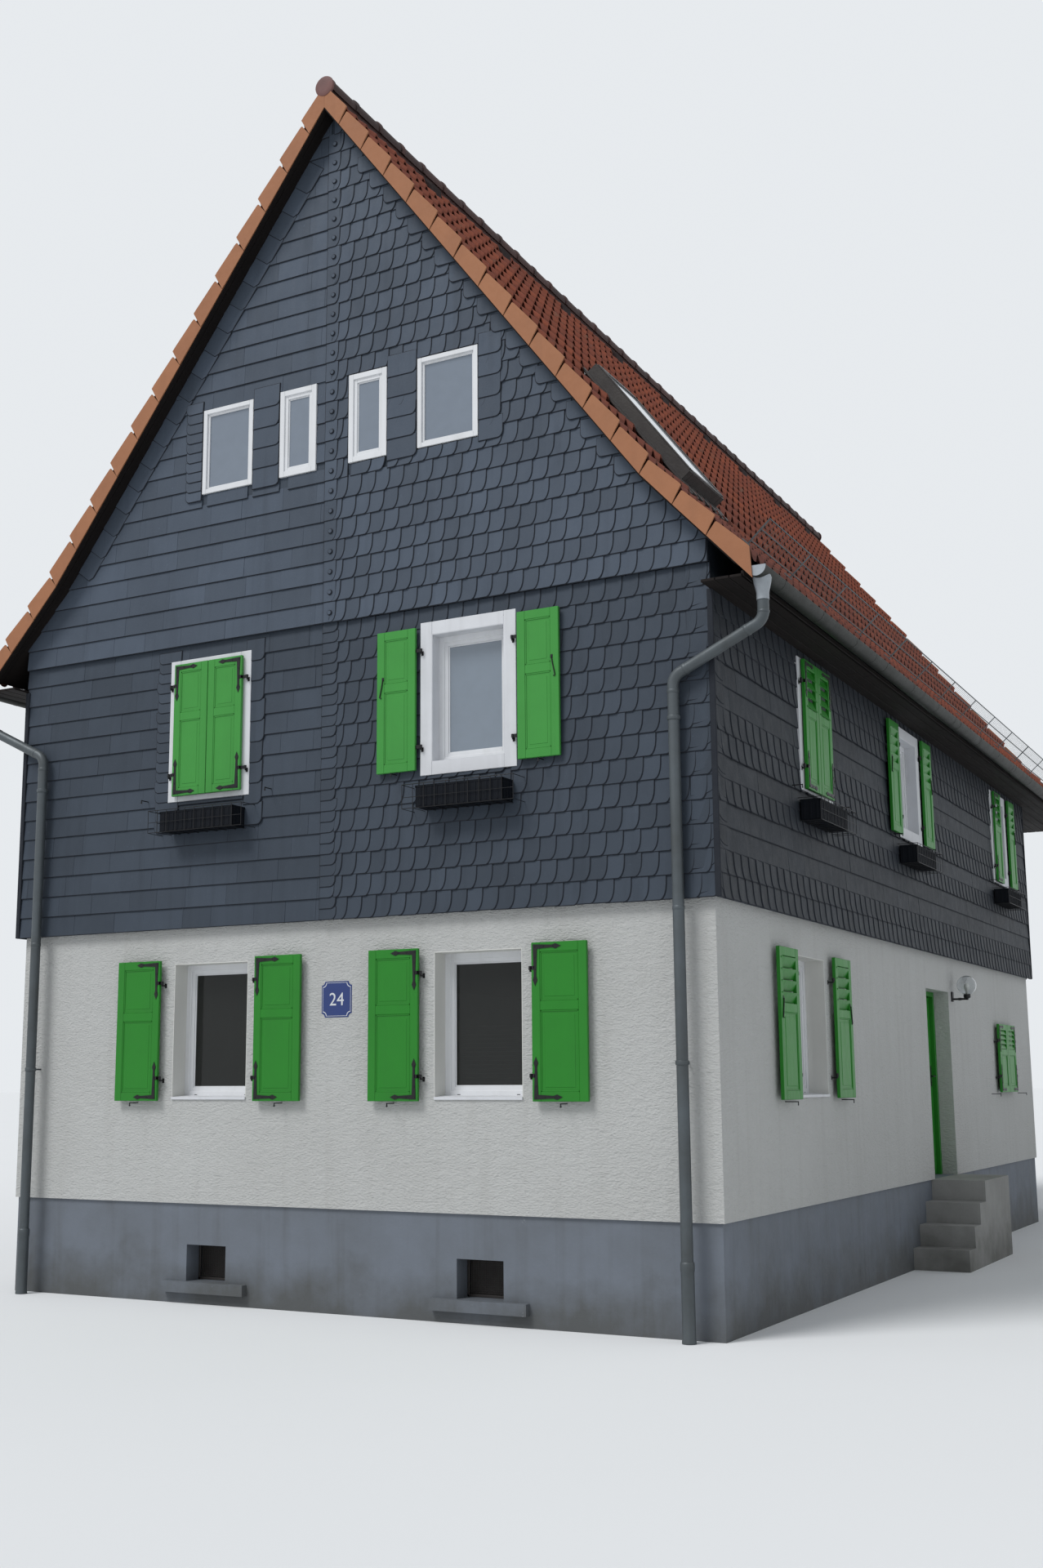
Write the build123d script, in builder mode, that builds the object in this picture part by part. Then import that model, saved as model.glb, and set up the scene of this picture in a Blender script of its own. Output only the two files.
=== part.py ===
"""Slate-clad gable house: rendered ground floor, slate-hung upper floor and gable, steep clay-tiled roof.

Millimetres, +Z up. X runs along the street front, Y from the front gable to the rear gable.
The origin lies on the ground at the middle of the house.
"""

import os
from collections import namedtuple
from math import atan2, cos, hypot, pi, sin, tan

from build123d import *

os.makedirs("parts", exist_ok=True)

# Plan
house_width = 6800
house_length = 13900
side_wall_length = 11600
bay_setback = 600

# Storeys, heights above the ground
plinth_height = 820
slate_edge_height = 3170
gable_foot_height = 5720

# Walls and floors
plinth_inset = 20
plinth_thickness = 420
render_wall_thickness = 350
slate_stand_out = 50
gable_stand_out = 75
timber_wall_thickness = 220
floor_thickness = 180

# Roof underside: apex, foot at the eaves, and the knee where the slope turns flatter; then the layers
apex_height = 10450
eaves_height = 5613
knee_rise = 803
eaves_overhang = 326
knee_inset = 410
deck_thickness = 60
tile_layer = 97
tile_course_step = 45
verge_overhang = 250
verge_tile_thickness = 20
verge_tile_count = 16
verge_step = 16
ridge_radius = 105
ridge_sink = 50
ridge_lap_step = 8
ridge_mouth = 60
ridge_sides = 16

# Eaves box, gutters and downpipes
soffit_drop = 113
board_thickness = 22
fascia_lead = 64
gutter_radius = 75
gutter_wall = 4
gutter_sides = 24
gutter_drop = 53
gutter_clearance = 20
bracket_count = 15
bracket_width = 30
bracket_thickness = 12
funnel_radius = 68
funnel_length = 150
pipe_radius = 44
pipe_sides = 16
pipe_fit = 0.3
pipe_inset_from_corner = 240
pipe_stand_off = 130
neck_drop = 150
neck_fall = 350
neck_bend = 110
standpipe_radius = 52
standpipe_top = 560
collar_heights = (4500, 1940)
collar_height = 35
collar_rim = 8
collar_arm = 30

# Snow guard over the right-hand eaves
guard_post_count = 15
guard_post_width = 22
guard_height = 250
guard_rail = 12
guard_foot_gap = 25
guard_thickness = 8
guard_back_from_foot = 150

# Cellar vents
vent_width = 410
vent_height = 300
vent_sill = 180
ledge_width = 850
ledge_height = 90
ledge_reach = 60

# Openings
window_recess = 170
frame_depth = 60
frame_face = 65
glass_thickness = 12
ground_window_width = 790
ground_window_height = 1145
ground_window_sill = 1710
short_window_height = 760
upper_window_width = 670
upper_window_height = 1070
upper_window_sill = 4400
side_window_height = 950
side_window_sill = 4370
upper_window_recess = 90
surround_face = 110
surround_thickness = 25
gable_window_sill = 7110
gable_window_height = 805
gable_frame_proud = 10

# Entrance
door_centre = 6635
door_width = 990
door_head = 2785
door_recess = 160
door_leaf_thickness = 45
door_frame_face = 50
door_frame_depth = 90
door_gap = 6
floor_gap = 8
step_count = 4
step_going = 280
step_reach = 540
landing_width = 1150

# Entrance door: panels, hinges and handle
door_rail = 120
door_panel_recess = 10
knuckle_radius = 9
knuckle_height = 40
knuckle_sides = 12
hinge_pin_radius = 4
hinge_flap = 35
hinge_flap_thickness = 3
hinge_inset_on_door = 260
hinge_offset = 10
handle_height = 1050
handle_length = 120
handle_stand_off = 50
handle_bar = 16
handle_plate_width = 40
handle_plate_height = 220
handle_plate_thickness = 4

# Wall lamp beside the door, and the plate on the street front
lamp_place = 7290
lamp_plate_width = 70
lamp_plate_height = 110
lamp_plate_thickness = 18
lamp_plate_centre = 2740
lamp_reach = 170
lamp_arm_radius = 11
lamp_cup_radius = 38
lamp_cup_height = 40
globe_radius = 106
globe_wall = 3
globe_sides = 16
plate_size = 295
plate_centre = 67
plate_height = 2505
plate_thickness = 4
plate_notch = 32

# Window shutters on strap hinges
leaf_thickness = 30
leaf_rail = 72
panel_recess = 8
panel_split = 0.62
louvre_count = 4
louvre_thickness = 9
louvre_depth = 46
louvre_angle = 35
ground_leaf_width = 470
ground_leaf_height = 1210
short_leaf_height = 820
upper_leaf_width = 370
upper_leaf_height = 1200
side_leaf_height = 1140
meeting_gap = 6
ground_eye_offset = 19
upper_eye_offset = 50
leaf_stand_off = 38
surround_stand_off = 10
pin_radius = 6
eye_clearance = 0.3
eye_wall = 5
eye_height = 30
eye_sides = 8
strap_thickness = 4
strap_length = 240
strap_upright = 320
strap_height = 30
strap_margin = 12
hinge_inset = 195
holder_pin = 8
holder_reach = 60
holder_rise = 34
holder_drop = 12
holder_place = 0.55

# Flower boxes and their wire baskets
box_length = 800
box_depth = 180
box_height = 180
box_wall = 6
box_drop = 110
side_box_drop = 95
box_gap = 20
basket_length = 1020
basket_room = 6
basket_rim = 16
basket_post_count = 7
wire = 6
box_shifts = {"front": 10, "right": -100}

# Derived places
half_width = house_width / 2
front = -house_length / 2
rear = house_length / 2
side_end = front + side_wall_length
bay_face = half_width - bay_setback
knee_reach = half_width - knee_inset
eaves_reach = half_width + eaves_overhang
knee_height = eaves_height + knee_rise
roof_pitch = atan2(apex_height - knee_height, knee_reach)
eaves_pitch = atan2(knee_rise, eaves_reach - knee_reach)
soffit_height = eaves_height - soffit_drop
fascia_reach = eaves_reach + fascia_lead
gutter_height = eaves_height - gutter_drop
gutter_centre = fascia_reach + gutter_clearance + gutter_radius
roof_start = front - verge_overhang
roof_length = house_length + 2 * verge_overhang
roof_thickness = deck_thickness + tile_layer


def save(piece, name):
    """Labels a finished piece and writes its file."""
    piece.part.label = name
    export_step(piece.part, f"parts/{name}.step")


def front_plane(stand_out=0.0):
    """The street front: local x to the right, local y up, z outwards."""
    return Plane(origin=(0, front - stand_out, 0), x_dir=(1, 0, 0), z_dir=(0, -1, 0))


def right_plane(stand_out=0.0):
    """The right-hand wall: local x is the distance back from the front."""
    return Plane(origin=(half_width + stand_out, front, 0), x_dir=(0, 1, 0), z_dir=(1, 0, 0))


def rear_plane(stand_out=0.0):
    """The rear gable: local x runs to the left."""
    return Plane(origin=(0, rear + stand_out, 0), x_dir=(-1, 0, 0), z_dir=(0, 1, 0))


walls = {"front": front_plane, "right": right_plane, "rear": rear_plane}


def underside(x):
    """Height of the roof's underside at a distance x from the middle."""
    reach = abs(x)
    if reach <= knee_reach:
        return apex_height - reach * tan(roof_pitch)
    return knee_height - (reach - knee_reach) * tan(eaves_pitch)


def roof_line(rise):
    """Apex, knee and foot of the line that lies at a rise above the roof's underside."""
    half_turn = (roof_pitch - eaves_pitch) / 2
    mean = (roof_pitch + eaves_pitch) / 2
    apex = (0, apex_height + rise / cos(roof_pitch))
    knee = (knee_reach + rise * sin(mean) / cos(half_turn), knee_height + rise * cos(mean) / cos(half_turn))
    foot = (eaves_reach + rise * sin(eaves_pitch), eaves_height + rise * cos(eaves_pitch))
    return [apex, knee, foot]


# Windows: wall, distance along it, sill, width and height of the opening
Window = namedtuple("Window", "name wall centre sill width height")

rear_shift = bay_setback / 2
ground_left_centre, ground_right_centre = -1240, 1395
upper_left_centre, upper_right_centre = -1267, 1353
ground_windows = [
    Window("ground_left", "front", ground_left_centre, ground_window_sill, ground_window_width,
           ground_window_height),
    Window("ground_right", "front", ground_right_centre, ground_window_sill, ground_window_width,
           ground_window_height),
    Window("side_near", "right", 2200, ground_window_sill, ground_window_width, ground_window_height),
    Window("side_far", "right", 9850, ground_window_sill, ground_window_width, short_window_height),
    Window("ground_rear_a", "rear", rear_shift - ground_right_centre, ground_window_sill,
           ground_window_width, ground_window_height),
    Window("ground_rear_b", "rear", rear_shift - ground_left_centre, ground_window_sill,
           ground_window_width, ground_window_height),
]
upper_windows = [
    Window("upper_left", "front", upper_left_centre, upper_window_sill, upper_window_width,
           upper_window_height),
    Window("upper_right", "front", upper_right_centre, upper_window_sill, upper_window_width,
           upper_window_height),
    Window("upper_side_near", "right", 2380, side_window_sill, upper_window_width, side_window_height),
    Window("upper_side_mid", "right", 5570, side_window_sill, upper_window_width, side_window_height),
    Window("upper_side_far", "right", 10020, side_window_sill, upper_window_width, side_window_height),
    Window("upper_rear_a", "rear", rear_shift - upper_right_centre, upper_window_sill,
           upper_window_width, upper_window_height),
    Window("upper_rear_b", "rear", rear_shift - upper_left_centre, upper_window_sill,
           upper_window_width, upper_window_height),
]
gable_places = [(-1120, 560), (-348, 390), (382, 390), (1177, 587)]
gable_windows = [
    Window(f"gable_{wall}_{number}", wall, centre, gable_window_sill, width, gable_window_height)
    for wall in ("front", "rear")
    for number, (centre, width) in enumerate(gable_places, 1)
]


def cut_windows(windows, wall, stand_out, depth):
    """Cuts the openings of one wall through it, inside the BuildPart that is open."""
    for window in windows:
        if window.wall != wall:
            continue
        with BuildSketch(walls[wall](stand_out)) as opening:
            with Locations((window.centre, window.sill + window.height / 2)):
                Rectangle(window.width, window.height)
        extrude(opening.sketch, amount=-depth, mode=Mode.SUBTRACT)


def slab(x_low, x_high, y_low, y_high, z_low, z_high):
    """A straight-sided block between six planes, added to the BuildPart that is open."""
    with BuildSketch(Plane.XY.offset(z_low)) as footprint:
        with Locations(((x_low + x_high) / 2, (y_low + y_high) / 2)):
            Rectangle(x_high - x_low, y_high - y_low)
    extrude(footprint.sketch, amount=z_high - z_low)


def bay_outline(face, thickness, start):
    """Plan of the wall that steps back at the rear bay, from start along the side to the rear wall."""
    step = side_end + face - half_width
    inner = face - bay_setback
    with BuildLine() as outline:
        Polyline(
            (face, start),
            (face, step),
            (inner, step),
            (inner, rear + face - half_width - thickness),
            (inner - thickness, rear + face - half_width - thickness),
            (inner - thickness, step - thickness),
            (face - thickness, step - thickness),
            (face - thickness, start),
            close=True,
        )
    make_face(outline.edges())


# Plinth: masonry set back a little under the render, with two cellar vents to the street
plinth_face = half_width - plinth_inset
plinth_front_y = front + plinth_inset
with BuildPart() as plinth_front:
    slab(-plinth_face, plinth_face, plinth_front_y, plinth_front_y + plinth_thickness, 0, plinth_height)
    for window in ground_windows[:2]:
        with BuildSketch(front_plane()):
            with Locations((window.centre, vent_sill + vent_height / 2)):
                Rectangle(vent_width, vent_height)
        extrude(amount=-(plinth_thickness + 2 * plinth_inset), mode=Mode.SUBTRACT)
        slab(
            window.centre - ledge_width / 2,
            window.centre + ledge_width / 2,
            plinth_front_y - ledge_reach,
            plinth_front_y + plinth_thickness / 2,
            vent_sill - ledge_height,
            vent_sill,
        )
save(plinth_front, "plinth_front")

plinth_start = plinth_front_y + plinth_thickness
with BuildPart() as plinth_right:
    with BuildSketch():
        bay_outline(plinth_face, plinth_thickness, plinth_start)
    extrude(amount=plinth_height)
save(plinth_right, "plinth_right")

with BuildPart() as plinth_left:
    slab(-plinth_face, -plinth_face + plinth_thickness, plinth_start, rear - plinth_inset - plinth_thickness,
         0, plinth_height)
save(plinth_left, "plinth_left")

with BuildPart() as plinth_rear:
    slab(-plinth_face, plinth_face - bay_setback, rear - plinth_inset - plinth_thickness, rear - plinth_inset,
         0, plinth_height)
save(plinth_rear, "plinth_rear")

# Ground floor walls, rendered
door_low = door_centre - door_width / 2
door_high = door_centre + door_width / 2
wall_start = front + render_wall_thickness
with BuildPart() as ground_wall_front:
    slab(-half_width, half_width, front, wall_start, plinth_height, slate_edge_height)
    cut_windows(ground_windows, "front", 1, render_wall_thickness + 2)
save(ground_wall_front, "ground_wall_front")

with BuildPart() as ground_wall_right_near:
    slab(half_width - render_wall_thickness, half_width, wall_start, front + door_low,
         plinth_height, slate_edge_height)
    cut_windows(ground_windows, "right", 1, render_wall_thickness + 2)
save(ground_wall_right_near, "ground_wall_right_near")

with BuildPart() as ground_wall_right_far:
    with BuildSketch(Plane.XY.offset(plinth_height)):
        bay_outline(half_width, render_wall_thickness, front + door_high)
    extrude(amount=slate_edge_height - plinth_height)
    cut_windows(ground_windows, "right", 1, render_wall_thickness + 2)
save(ground_wall_right_far, "ground_wall_right_far")

with BuildPart() as wall_over_door:
    slab(half_width - render_wall_thickness, half_width, front + door_low, front + door_high,
         door_head, slate_edge_height)
save(wall_over_door, "wall_over_door")

with BuildPart() as ground_wall_left:
    slab(-half_width, -half_width + render_wall_thickness, wall_start, rear - render_wall_thickness,
         plinth_height, slate_edge_height)
save(ground_wall_left, "ground_wall_left")

with BuildPart() as ground_wall_rear:
    slab(-half_width, bay_face, rear - render_wall_thickness, rear, plinth_height, slate_edge_height)
    cut_windows(ground_windows, "rear", 1, render_wall_thickness + 2)
save(ground_wall_rear, "ground_wall_rear")


def floor_plan(wall_thickness, stand_out):
    """Plan of a floor that fits between the inner faces of its walls, with the rear bay set back."""
    inner = wall_thickness - stand_out
    with BuildLine() as outline:
        Polyline(
            (-half_width + inner, front + inner),
            (half_width - inner, front + inner),
            (half_width - inner, side_end - inner),
            (bay_face - inner, side_end - inner),
            (bay_face - inner, rear - inner),
            (-half_width + inner, rear - inner),
            close=True,
        )
    make_face(outline.edges())


with BuildPart() as ground_floor:
    with BuildSketch(Plane.XY.offset(plinth_height)):
        floor_plan(plinth_thickness, -plinth_inset)
    extrude(amount=-floor_thickness)
save(ground_floor, "ground_floor")

with BuildPart() as upper_floor:
    with BuildSketch(Plane.XY.offset(slate_edge_height)):
        floor_plan(render_wall_thickness, 0)
    extrude(amount=-floor_thickness)
save(upper_floor, "upper_floor")

with BuildPart() as attic_floor:
    with BuildSketch(Plane.XY.offset(gable_foot_height)):
        floor_plan(timber_wall_thickness, slate_stand_out)
    extrude(amount=-floor_thickness)
save(attic_floor, "attic_floor")

# Upper floor walls, hung with slate, standing out over the render
slate_face = half_width + slate_stand_out
upper_start = front - slate_stand_out + timber_wall_thickness
upper_end = rear + slate_stand_out - timber_wall_thickness


def cut_above_roof():
    """Cuts away what would stand above the roof's underside, inside the BuildPart that is open."""
    apex, knee, foot = roof_line(0)
    far = foot[0] + verge_overhang
    high = apex_height + verge_overhang
    with BuildSketch(Plane.XZ.offset(-roof_start - roof_length)) as sky:
        with BuildLine():
            Polyline(
                apex, knee, (far, underside(far)), (far, high),
                (-far, high), (-far, underside(far)), (-knee[0], knee[1]),
                close=True,
            )
        make_face()
    extrude(sky.sketch, amount=roof_length, mode=Mode.SUBTRACT)


with BuildPart() as upper_wall_front:
    slab(-slate_face, slate_face, front - slate_stand_out, upper_start, slate_edge_height, gable_foot_height)
    cut_windows(upper_windows, "front", slate_stand_out + 1, timber_wall_thickness + 2)
save(upper_wall_front, "upper_wall_front")

with BuildPart() as upper_wall_right:
    with BuildSketch(Plane.XY.offset(slate_edge_height)):
        bay_outline(slate_face, timber_wall_thickness, upper_start)
    extrude(amount=apex_height - slate_edge_height)
    cut_windows(upper_windows, "right", slate_stand_out + 1, timber_wall_thickness + 2)
    cut_above_roof()
save(upper_wall_right, "upper_wall_right")

with BuildPart() as upper_wall_left:
    slab(-slate_face, -slate_face + timber_wall_thickness, upper_start, upper_end,
         slate_edge_height, apex_height)
    cut_above_roof()
save(upper_wall_left, "upper_wall_left")

with BuildPart() as upper_wall_rear:
    slab(-slate_face, slate_face - bay_setback, upper_end, rear + slate_stand_out,
         slate_edge_height, gable_foot_height)
    cut_windows(upper_windows, "rear", slate_stand_out + 1, timber_wall_thickness + 2)
save(upper_wall_rear, "upper_wall_rear")

# Gables: the slate kicks out a little over the storey below
gable_thickness = timber_wall_thickness + gable_stand_out - slate_stand_out
with BuildPart() as gable_front:
    slab(-slate_face, slate_face, front - gable_stand_out, upper_start, gable_foot_height, apex_height)
    cut_above_roof()
    cut_windows(gable_windows, "front", gable_stand_out + 1, gable_thickness + 2)
save(gable_front, "gable_front")

with BuildPart() as gable_rear:
    slab(-slate_face, slate_face - bay_setback, upper_end, rear + gable_stand_out,
         gable_foot_height, apex_height)
    cut_above_roof()
    cut_windows(gable_windows, "rear", gable_stand_out + 1, gable_thickness + 2)
save(gable_rear, "gable_rear")

# Roof window in the right-hand slope, near the front verge
roof_window_back = 1050
roof_window_reach = 2430
roof_window_width = 780
roof_window_length = 1400
roof_window_raise = 100
roof_window_frame = 70
roof_window_glass = 20
slope_plane = Plane(
    origin=(roof_window_reach, front + roof_window_back, underside(roof_window_reach)),
    x_dir=(0, 1, 0),
    z_dir=(sin(roof_pitch), 0, cos(roof_pitch)),
)


def roof_layer(low, high, side, plane_start):
    """One slope's layer between two rises above the underside, from verge to verge."""
    lower = [(side * x, z) for x, z in roof_line(low)]
    upper = [(side * x, z) for x, z in roof_line(high)]
    with BuildSketch(Plane.XZ.offset(-plane_start)) as section:
        with BuildLine():
            Polyline(*lower, *reversed(upper), close=True)
        make_face()
    extrude(section.sketch, amount=-roof_length)


def course_places():
    """Distances down the slope at which one course meets the next, from apex to foot, and that of the knee."""
    apex, knee, foot = roof_line(roof_thickness)
    upper = hypot(knee[0] - apex[0], knee[1] - apex[1])
    lower = hypot(foot[0] - knee[0], foot[1] - knee[1])
    gauge = (upper + lower) / verge_tile_count
    return [number * gauge for number in range(verge_tile_count + 1)], upper


def slope_point(distance, sink, upper):
    """The point at a distance down the tiles' top line, sunk square to it."""
    apex, knee, _ = roof_line(roof_thickness)
    pitch, start, rest = roof_pitch, apex, distance
    if distance > upper:
        pitch, start, rest = eaves_pitch, knee, distance - upper
    return (start[0] + rest * cos(pitch) - sink * sin(pitch), start[1] - rest * sin(pitch) - sink * cos(pitch))


def tile_courses(side):
    """One slope's tiles: each course's head is sunk under the one above, but for the first and the last."""
    places, knee_place = course_places()
    teeth = [slope_point(0, 0, knee_place)]
    for head, foot in zip(places, places[1:]):
        if head > 0 and foot < places[-1]:
            teeth.append(slope_point(head, tile_course_step, knee_place))
        teeth.append(slope_point(foot, 0, knee_place))
    lower = [(side * x, z) for x, z in roof_line(deck_thickness)]
    upper = [(side * x, z) for x, z in teeth]
    with BuildSketch(Plane.XZ.offset(-roof_start)) as section:
        with BuildLine():
            Polyline(*lower, *reversed(upper), close=True)
        make_face()
    extrude(section.sketch, amount=-roof_length)


def cut_roof_window():
    """Cuts the roof window's opening through the slope, inside the BuildPart that is open."""
    with BuildSketch(slope_plane) as opening:
        Rectangle(roof_window_width, roof_window_length)
    extrude(opening.sketch, amount=roof_thickness * 2, mode=Mode.SUBTRACT, both=True)


with BuildPart() as roof_deck:
    for side in (1, -1):
        roof_layer(0, deck_thickness, side, roof_start)
    cut_roof_window()
save(roof_deck, "roof_deck")

with BuildPart() as roof_tiles_right:
    tile_courses(1)
    cut_roof_window()
save(roof_tiles_right, "roof_tiles_right")

with BuildPart() as roof_tiles_left:
    tile_courses(-1)
save(roof_tiles_left, "roof_tiles_left")

with BuildPart() as roof_window:
    with BuildSketch(slope_plane.offset(roof_thickness / 2)):
        Rectangle(roof_window_width, roof_window_length)
        Rectangle(roof_window_width - 2 * roof_window_frame, roof_window_length - 2 * roof_window_frame,
                  mode=Mode.SUBTRACT)
    extrude(amount=roof_thickness / 2 + roof_window_raise)
    with BuildSketch(slope_plane.offset(roof_thickness)):
        Rectangle(roof_window_width - roof_window_frame, roof_window_length - roof_window_frame)
    extrude(amount=roof_window_glass)
save(roof_window, "roof_window")

# Half-round ridge tiles over the meeting of the slopes; the end ones have a wider closed mouth
ridge_apex = roof_line(roof_thickness)[0][1]
ridge_centre = ridge_apex - ridge_sink
with BuildPart() as ridge_tiles:
    with BuildSketch(Plane.XZ.offset(-roof_start)):
        with Locations((0, ridge_centre)):
            RegularPolygon(ridge_radius - ridge_lap_step, ridge_sides)
    extrude(amount=-roof_length)
    mouths = (Plane.XZ.offset(-roof_start), Plane.XZ.offset(-roof_start - roof_length + ridge_mouth))
    with BuildSketch(*mouths):
        with Locations((0, ridge_centre)):
            RegularPolygon(ridge_radius, ridge_sides)
    extrude(amount=-ridge_mouth)
    with BuildSketch(Plane.XZ.offset(-roof_start)):
        with BuildLine():
            Polyline((0, ridge_apex), (ridge_radius * 2, ridge_apex - 2 * ridge_radius * tan(roof_pitch)),
                     (-ridge_radius * 2, ridge_apex - 2 * ridge_radius * tan(roof_pitch)), close=True)
        make_face()
    extrude(amount=-roof_length, mode=Mode.SUBTRACT)
save(ridge_tiles, "ridge_tiles")


# Verge tiles: flat clay pieces that close the gables' edges, each one's head tucked under the next one's foot
def verge_band(start, amount):
    """The side face of the verge on both slopes, extruded along Y from start."""
    places, upper = course_places()
    teeth = []
    for high, low in zip(places, places[1:]):
        if high > 0:
            teeth.append(slope_point(high + verge_step, verge_step, upper))
        teeth.append(slope_point(low, 0, upper))
    for side in (1, -1):
        lower = [(side * x, z) for x, z in roof_line(0)]
        top = [(side * x, z) for x, z in [roof_line(roof_thickness)[0]] + teeth]
        with BuildSketch(Plane.XZ.offset(-start)) as band:
            with BuildLine():
                Polyline(*lower, *reversed(top), close=True)
            make_face()
        extrude(band.sketch, amount=amount)


with BuildPart() as verge_tiles:
    verge_band(roof_start, verge_tile_thickness)
    verge_band(roof_start + roof_length, -verge_tile_thickness)
save(verge_tiles, "verge_tiles")

# Boxed eaves: a soffit board and a fascia board on each side; the rear bay's soffit is deeper
with BuildPart() as eaves_boards:
    for side, wall_face, start, end in (
        (1, slate_face, roof_start, side_end + slate_stand_out),
        (1, slate_face - bay_setback, side_end + slate_stand_out, roof_start + roof_length),
        (-1, slate_face, roof_start, roof_start + roof_length),
    ):
        low, high = sorted((side * wall_face, side * fascia_reach))
        slab(low, high, start, end, soffit_height, soffit_height + board_thickness)
        low, high = sorted((side * (fascia_reach - board_thickness), side * fascia_reach))
        slab(low, high, start, end, soffit_height, underside(fascia_reach))
save(eaves_boards, "eaves_boards")

# Half-round gutters on straps, with closed ends and a funnel over each downpipe
outlet_y = front - slate_stand_out - pipe_stand_off / 2
outlet_foot = gutter_height - gutter_radius - funnel_length
with BuildPart() as gutters:
    for side in (1, -1):
        with BuildSketch(Plane.XZ.offset(-roof_start)):
            with Locations((side * gutter_centre, gutter_height)):
                RegularPolygon(gutter_radius, gutter_sides)
        extrude(amount=-roof_length)
        with BuildSketch(Plane.XY.offset(gutter_height - gutter_radius / 2)):
            with Locations((side * gutter_centre, outlet_y)):
                RegularPolygon(funnel_radius, pipe_sides)
        with BuildSketch(Plane.XY.offset(outlet_foot)):
            with Locations((side * gutter_centre, outlet_y)):
                RegularPolygon(pipe_radius, pipe_sides)
        loft()
        with BuildSketch(Plane.XZ.offset(-roof_start - gutter_wall)):
            with Locations((side * gutter_centre, gutter_height)):
                RegularPolygon(gutter_radius - gutter_wall, gutter_sides)
        extrude(amount=-(roof_length - 2 * gutter_wall), mode=Mode.SUBTRACT)
        low, high = sorted((side * fascia_reach, side * (gutter_centre + 2 * gutter_radius)))
        with BuildSketch(Plane.XY.offset(gutter_height)):
            with Locations(((low + high) / 2, 0)):
                Rectangle(high - low, roof_length + gutter_radius)
        extrude(amount=2 * gutter_radius, mode=Mode.SUBTRACT)
        strap_reach = gutter_clearance + gutter_wall / 2
        with BuildSketch(Plane.XY.offset(gutter_height)):
            with Locations((side * (fascia_reach + strap_reach / 2), 0)):
                with GridLocations(0, roof_length / bracket_count, 1, bracket_count):
                    Rectangle(strap_reach, bracket_width)
        extrude(amount=-bracket_thickness)
save(gutters, "gutters")

# Downpipes at both front corners: swan neck under the funnel, collars held to the wall, cast standpipe
pipe_y = front - pipe_stand_off
pipe_x = half_width - pipe_inset_from_corner
pipe_top = outlet_foot - pipe_fit
with BuildPart() as downpipes:
    for side in (1, -1):
        with BuildLine():
            FilletPolyline(
                (side * gutter_centre, outlet_y, pipe_top),
                (side * gutter_centre, outlet_y, pipe_top - neck_drop),
                (side * pipe_x, pipe_y, pipe_top - neck_drop - neck_fall),
                (side * pipe_x, pipe_y, standpipe_top),
                radius=neck_bend,
            )
        with BuildSketch(Plane((side * gutter_centre, outlet_y, pipe_top), z_dir=(0, 0, -1))):
            RegularPolygon(pipe_radius, pipe_sides)
        sweep()
        with BuildSketch(Plane((side * pipe_x, pipe_y, 0))):
            RegularPolygon(standpipe_radius, pipe_sides)
        extrude(amount=standpipe_top)
        for height, wall_face in zip(collar_heights, (front - slate_stand_out, front)):
            with BuildSketch(Plane((side * pipe_x, pipe_y, height))):
                RegularPolygon(pipe_radius + collar_rim, pipe_sides)
            extrude(amount=collar_height)
            slab(side * pipe_x - collar_arm / 2, side * pipe_x + collar_arm / 2, pipe_y + pipe_radius / 2,
                 wall_face, height, height + collar_height)
save(downpipes, "downpipes")


def tile_top(reach):
    """Height of the tiles' top over the eaves courses at a distance from the middle."""
    knee, foot = roof_line(roof_thickness)[1:]
    return foot[1] + (foot[0] - reach) * (knee[1] - foot[1]) / (foot[0] - knee[0])


# Snow guard: flat posts on the eaves courses with a top, a middle and a foot rail
guard_reach = roof_line(roof_thickness)[2][0] - guard_back_from_foot * cos(eaves_pitch)
guard_length = house_length
guard_plane = Plane(origin=(guard_reach, 0, tile_top(guard_reach)), x_dir=(0, 1, 0),
                    z_dir=(cos(eaves_pitch), 0, -sin(eaves_pitch)))
with BuildPart() as snow_guard:
    with BuildSketch(guard_plane):
        with GridLocations((guard_length - guard_post_width) / (guard_post_count - 1), 0, guard_post_count, 1):
            with Locations((0, guard_height / 2)):
                Rectangle(guard_post_width, guard_height)
        for height in (guard_foot_gap, (guard_foot_gap + guard_height) / 2, guard_height - guard_rail):
            with Locations((0, height + guard_rail / 2)):
                Rectangle(guard_length, guard_rail)
    extrude(amount=guard_thickness / 2, both=True)
save(snow_guard, "snow_guard")

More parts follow.
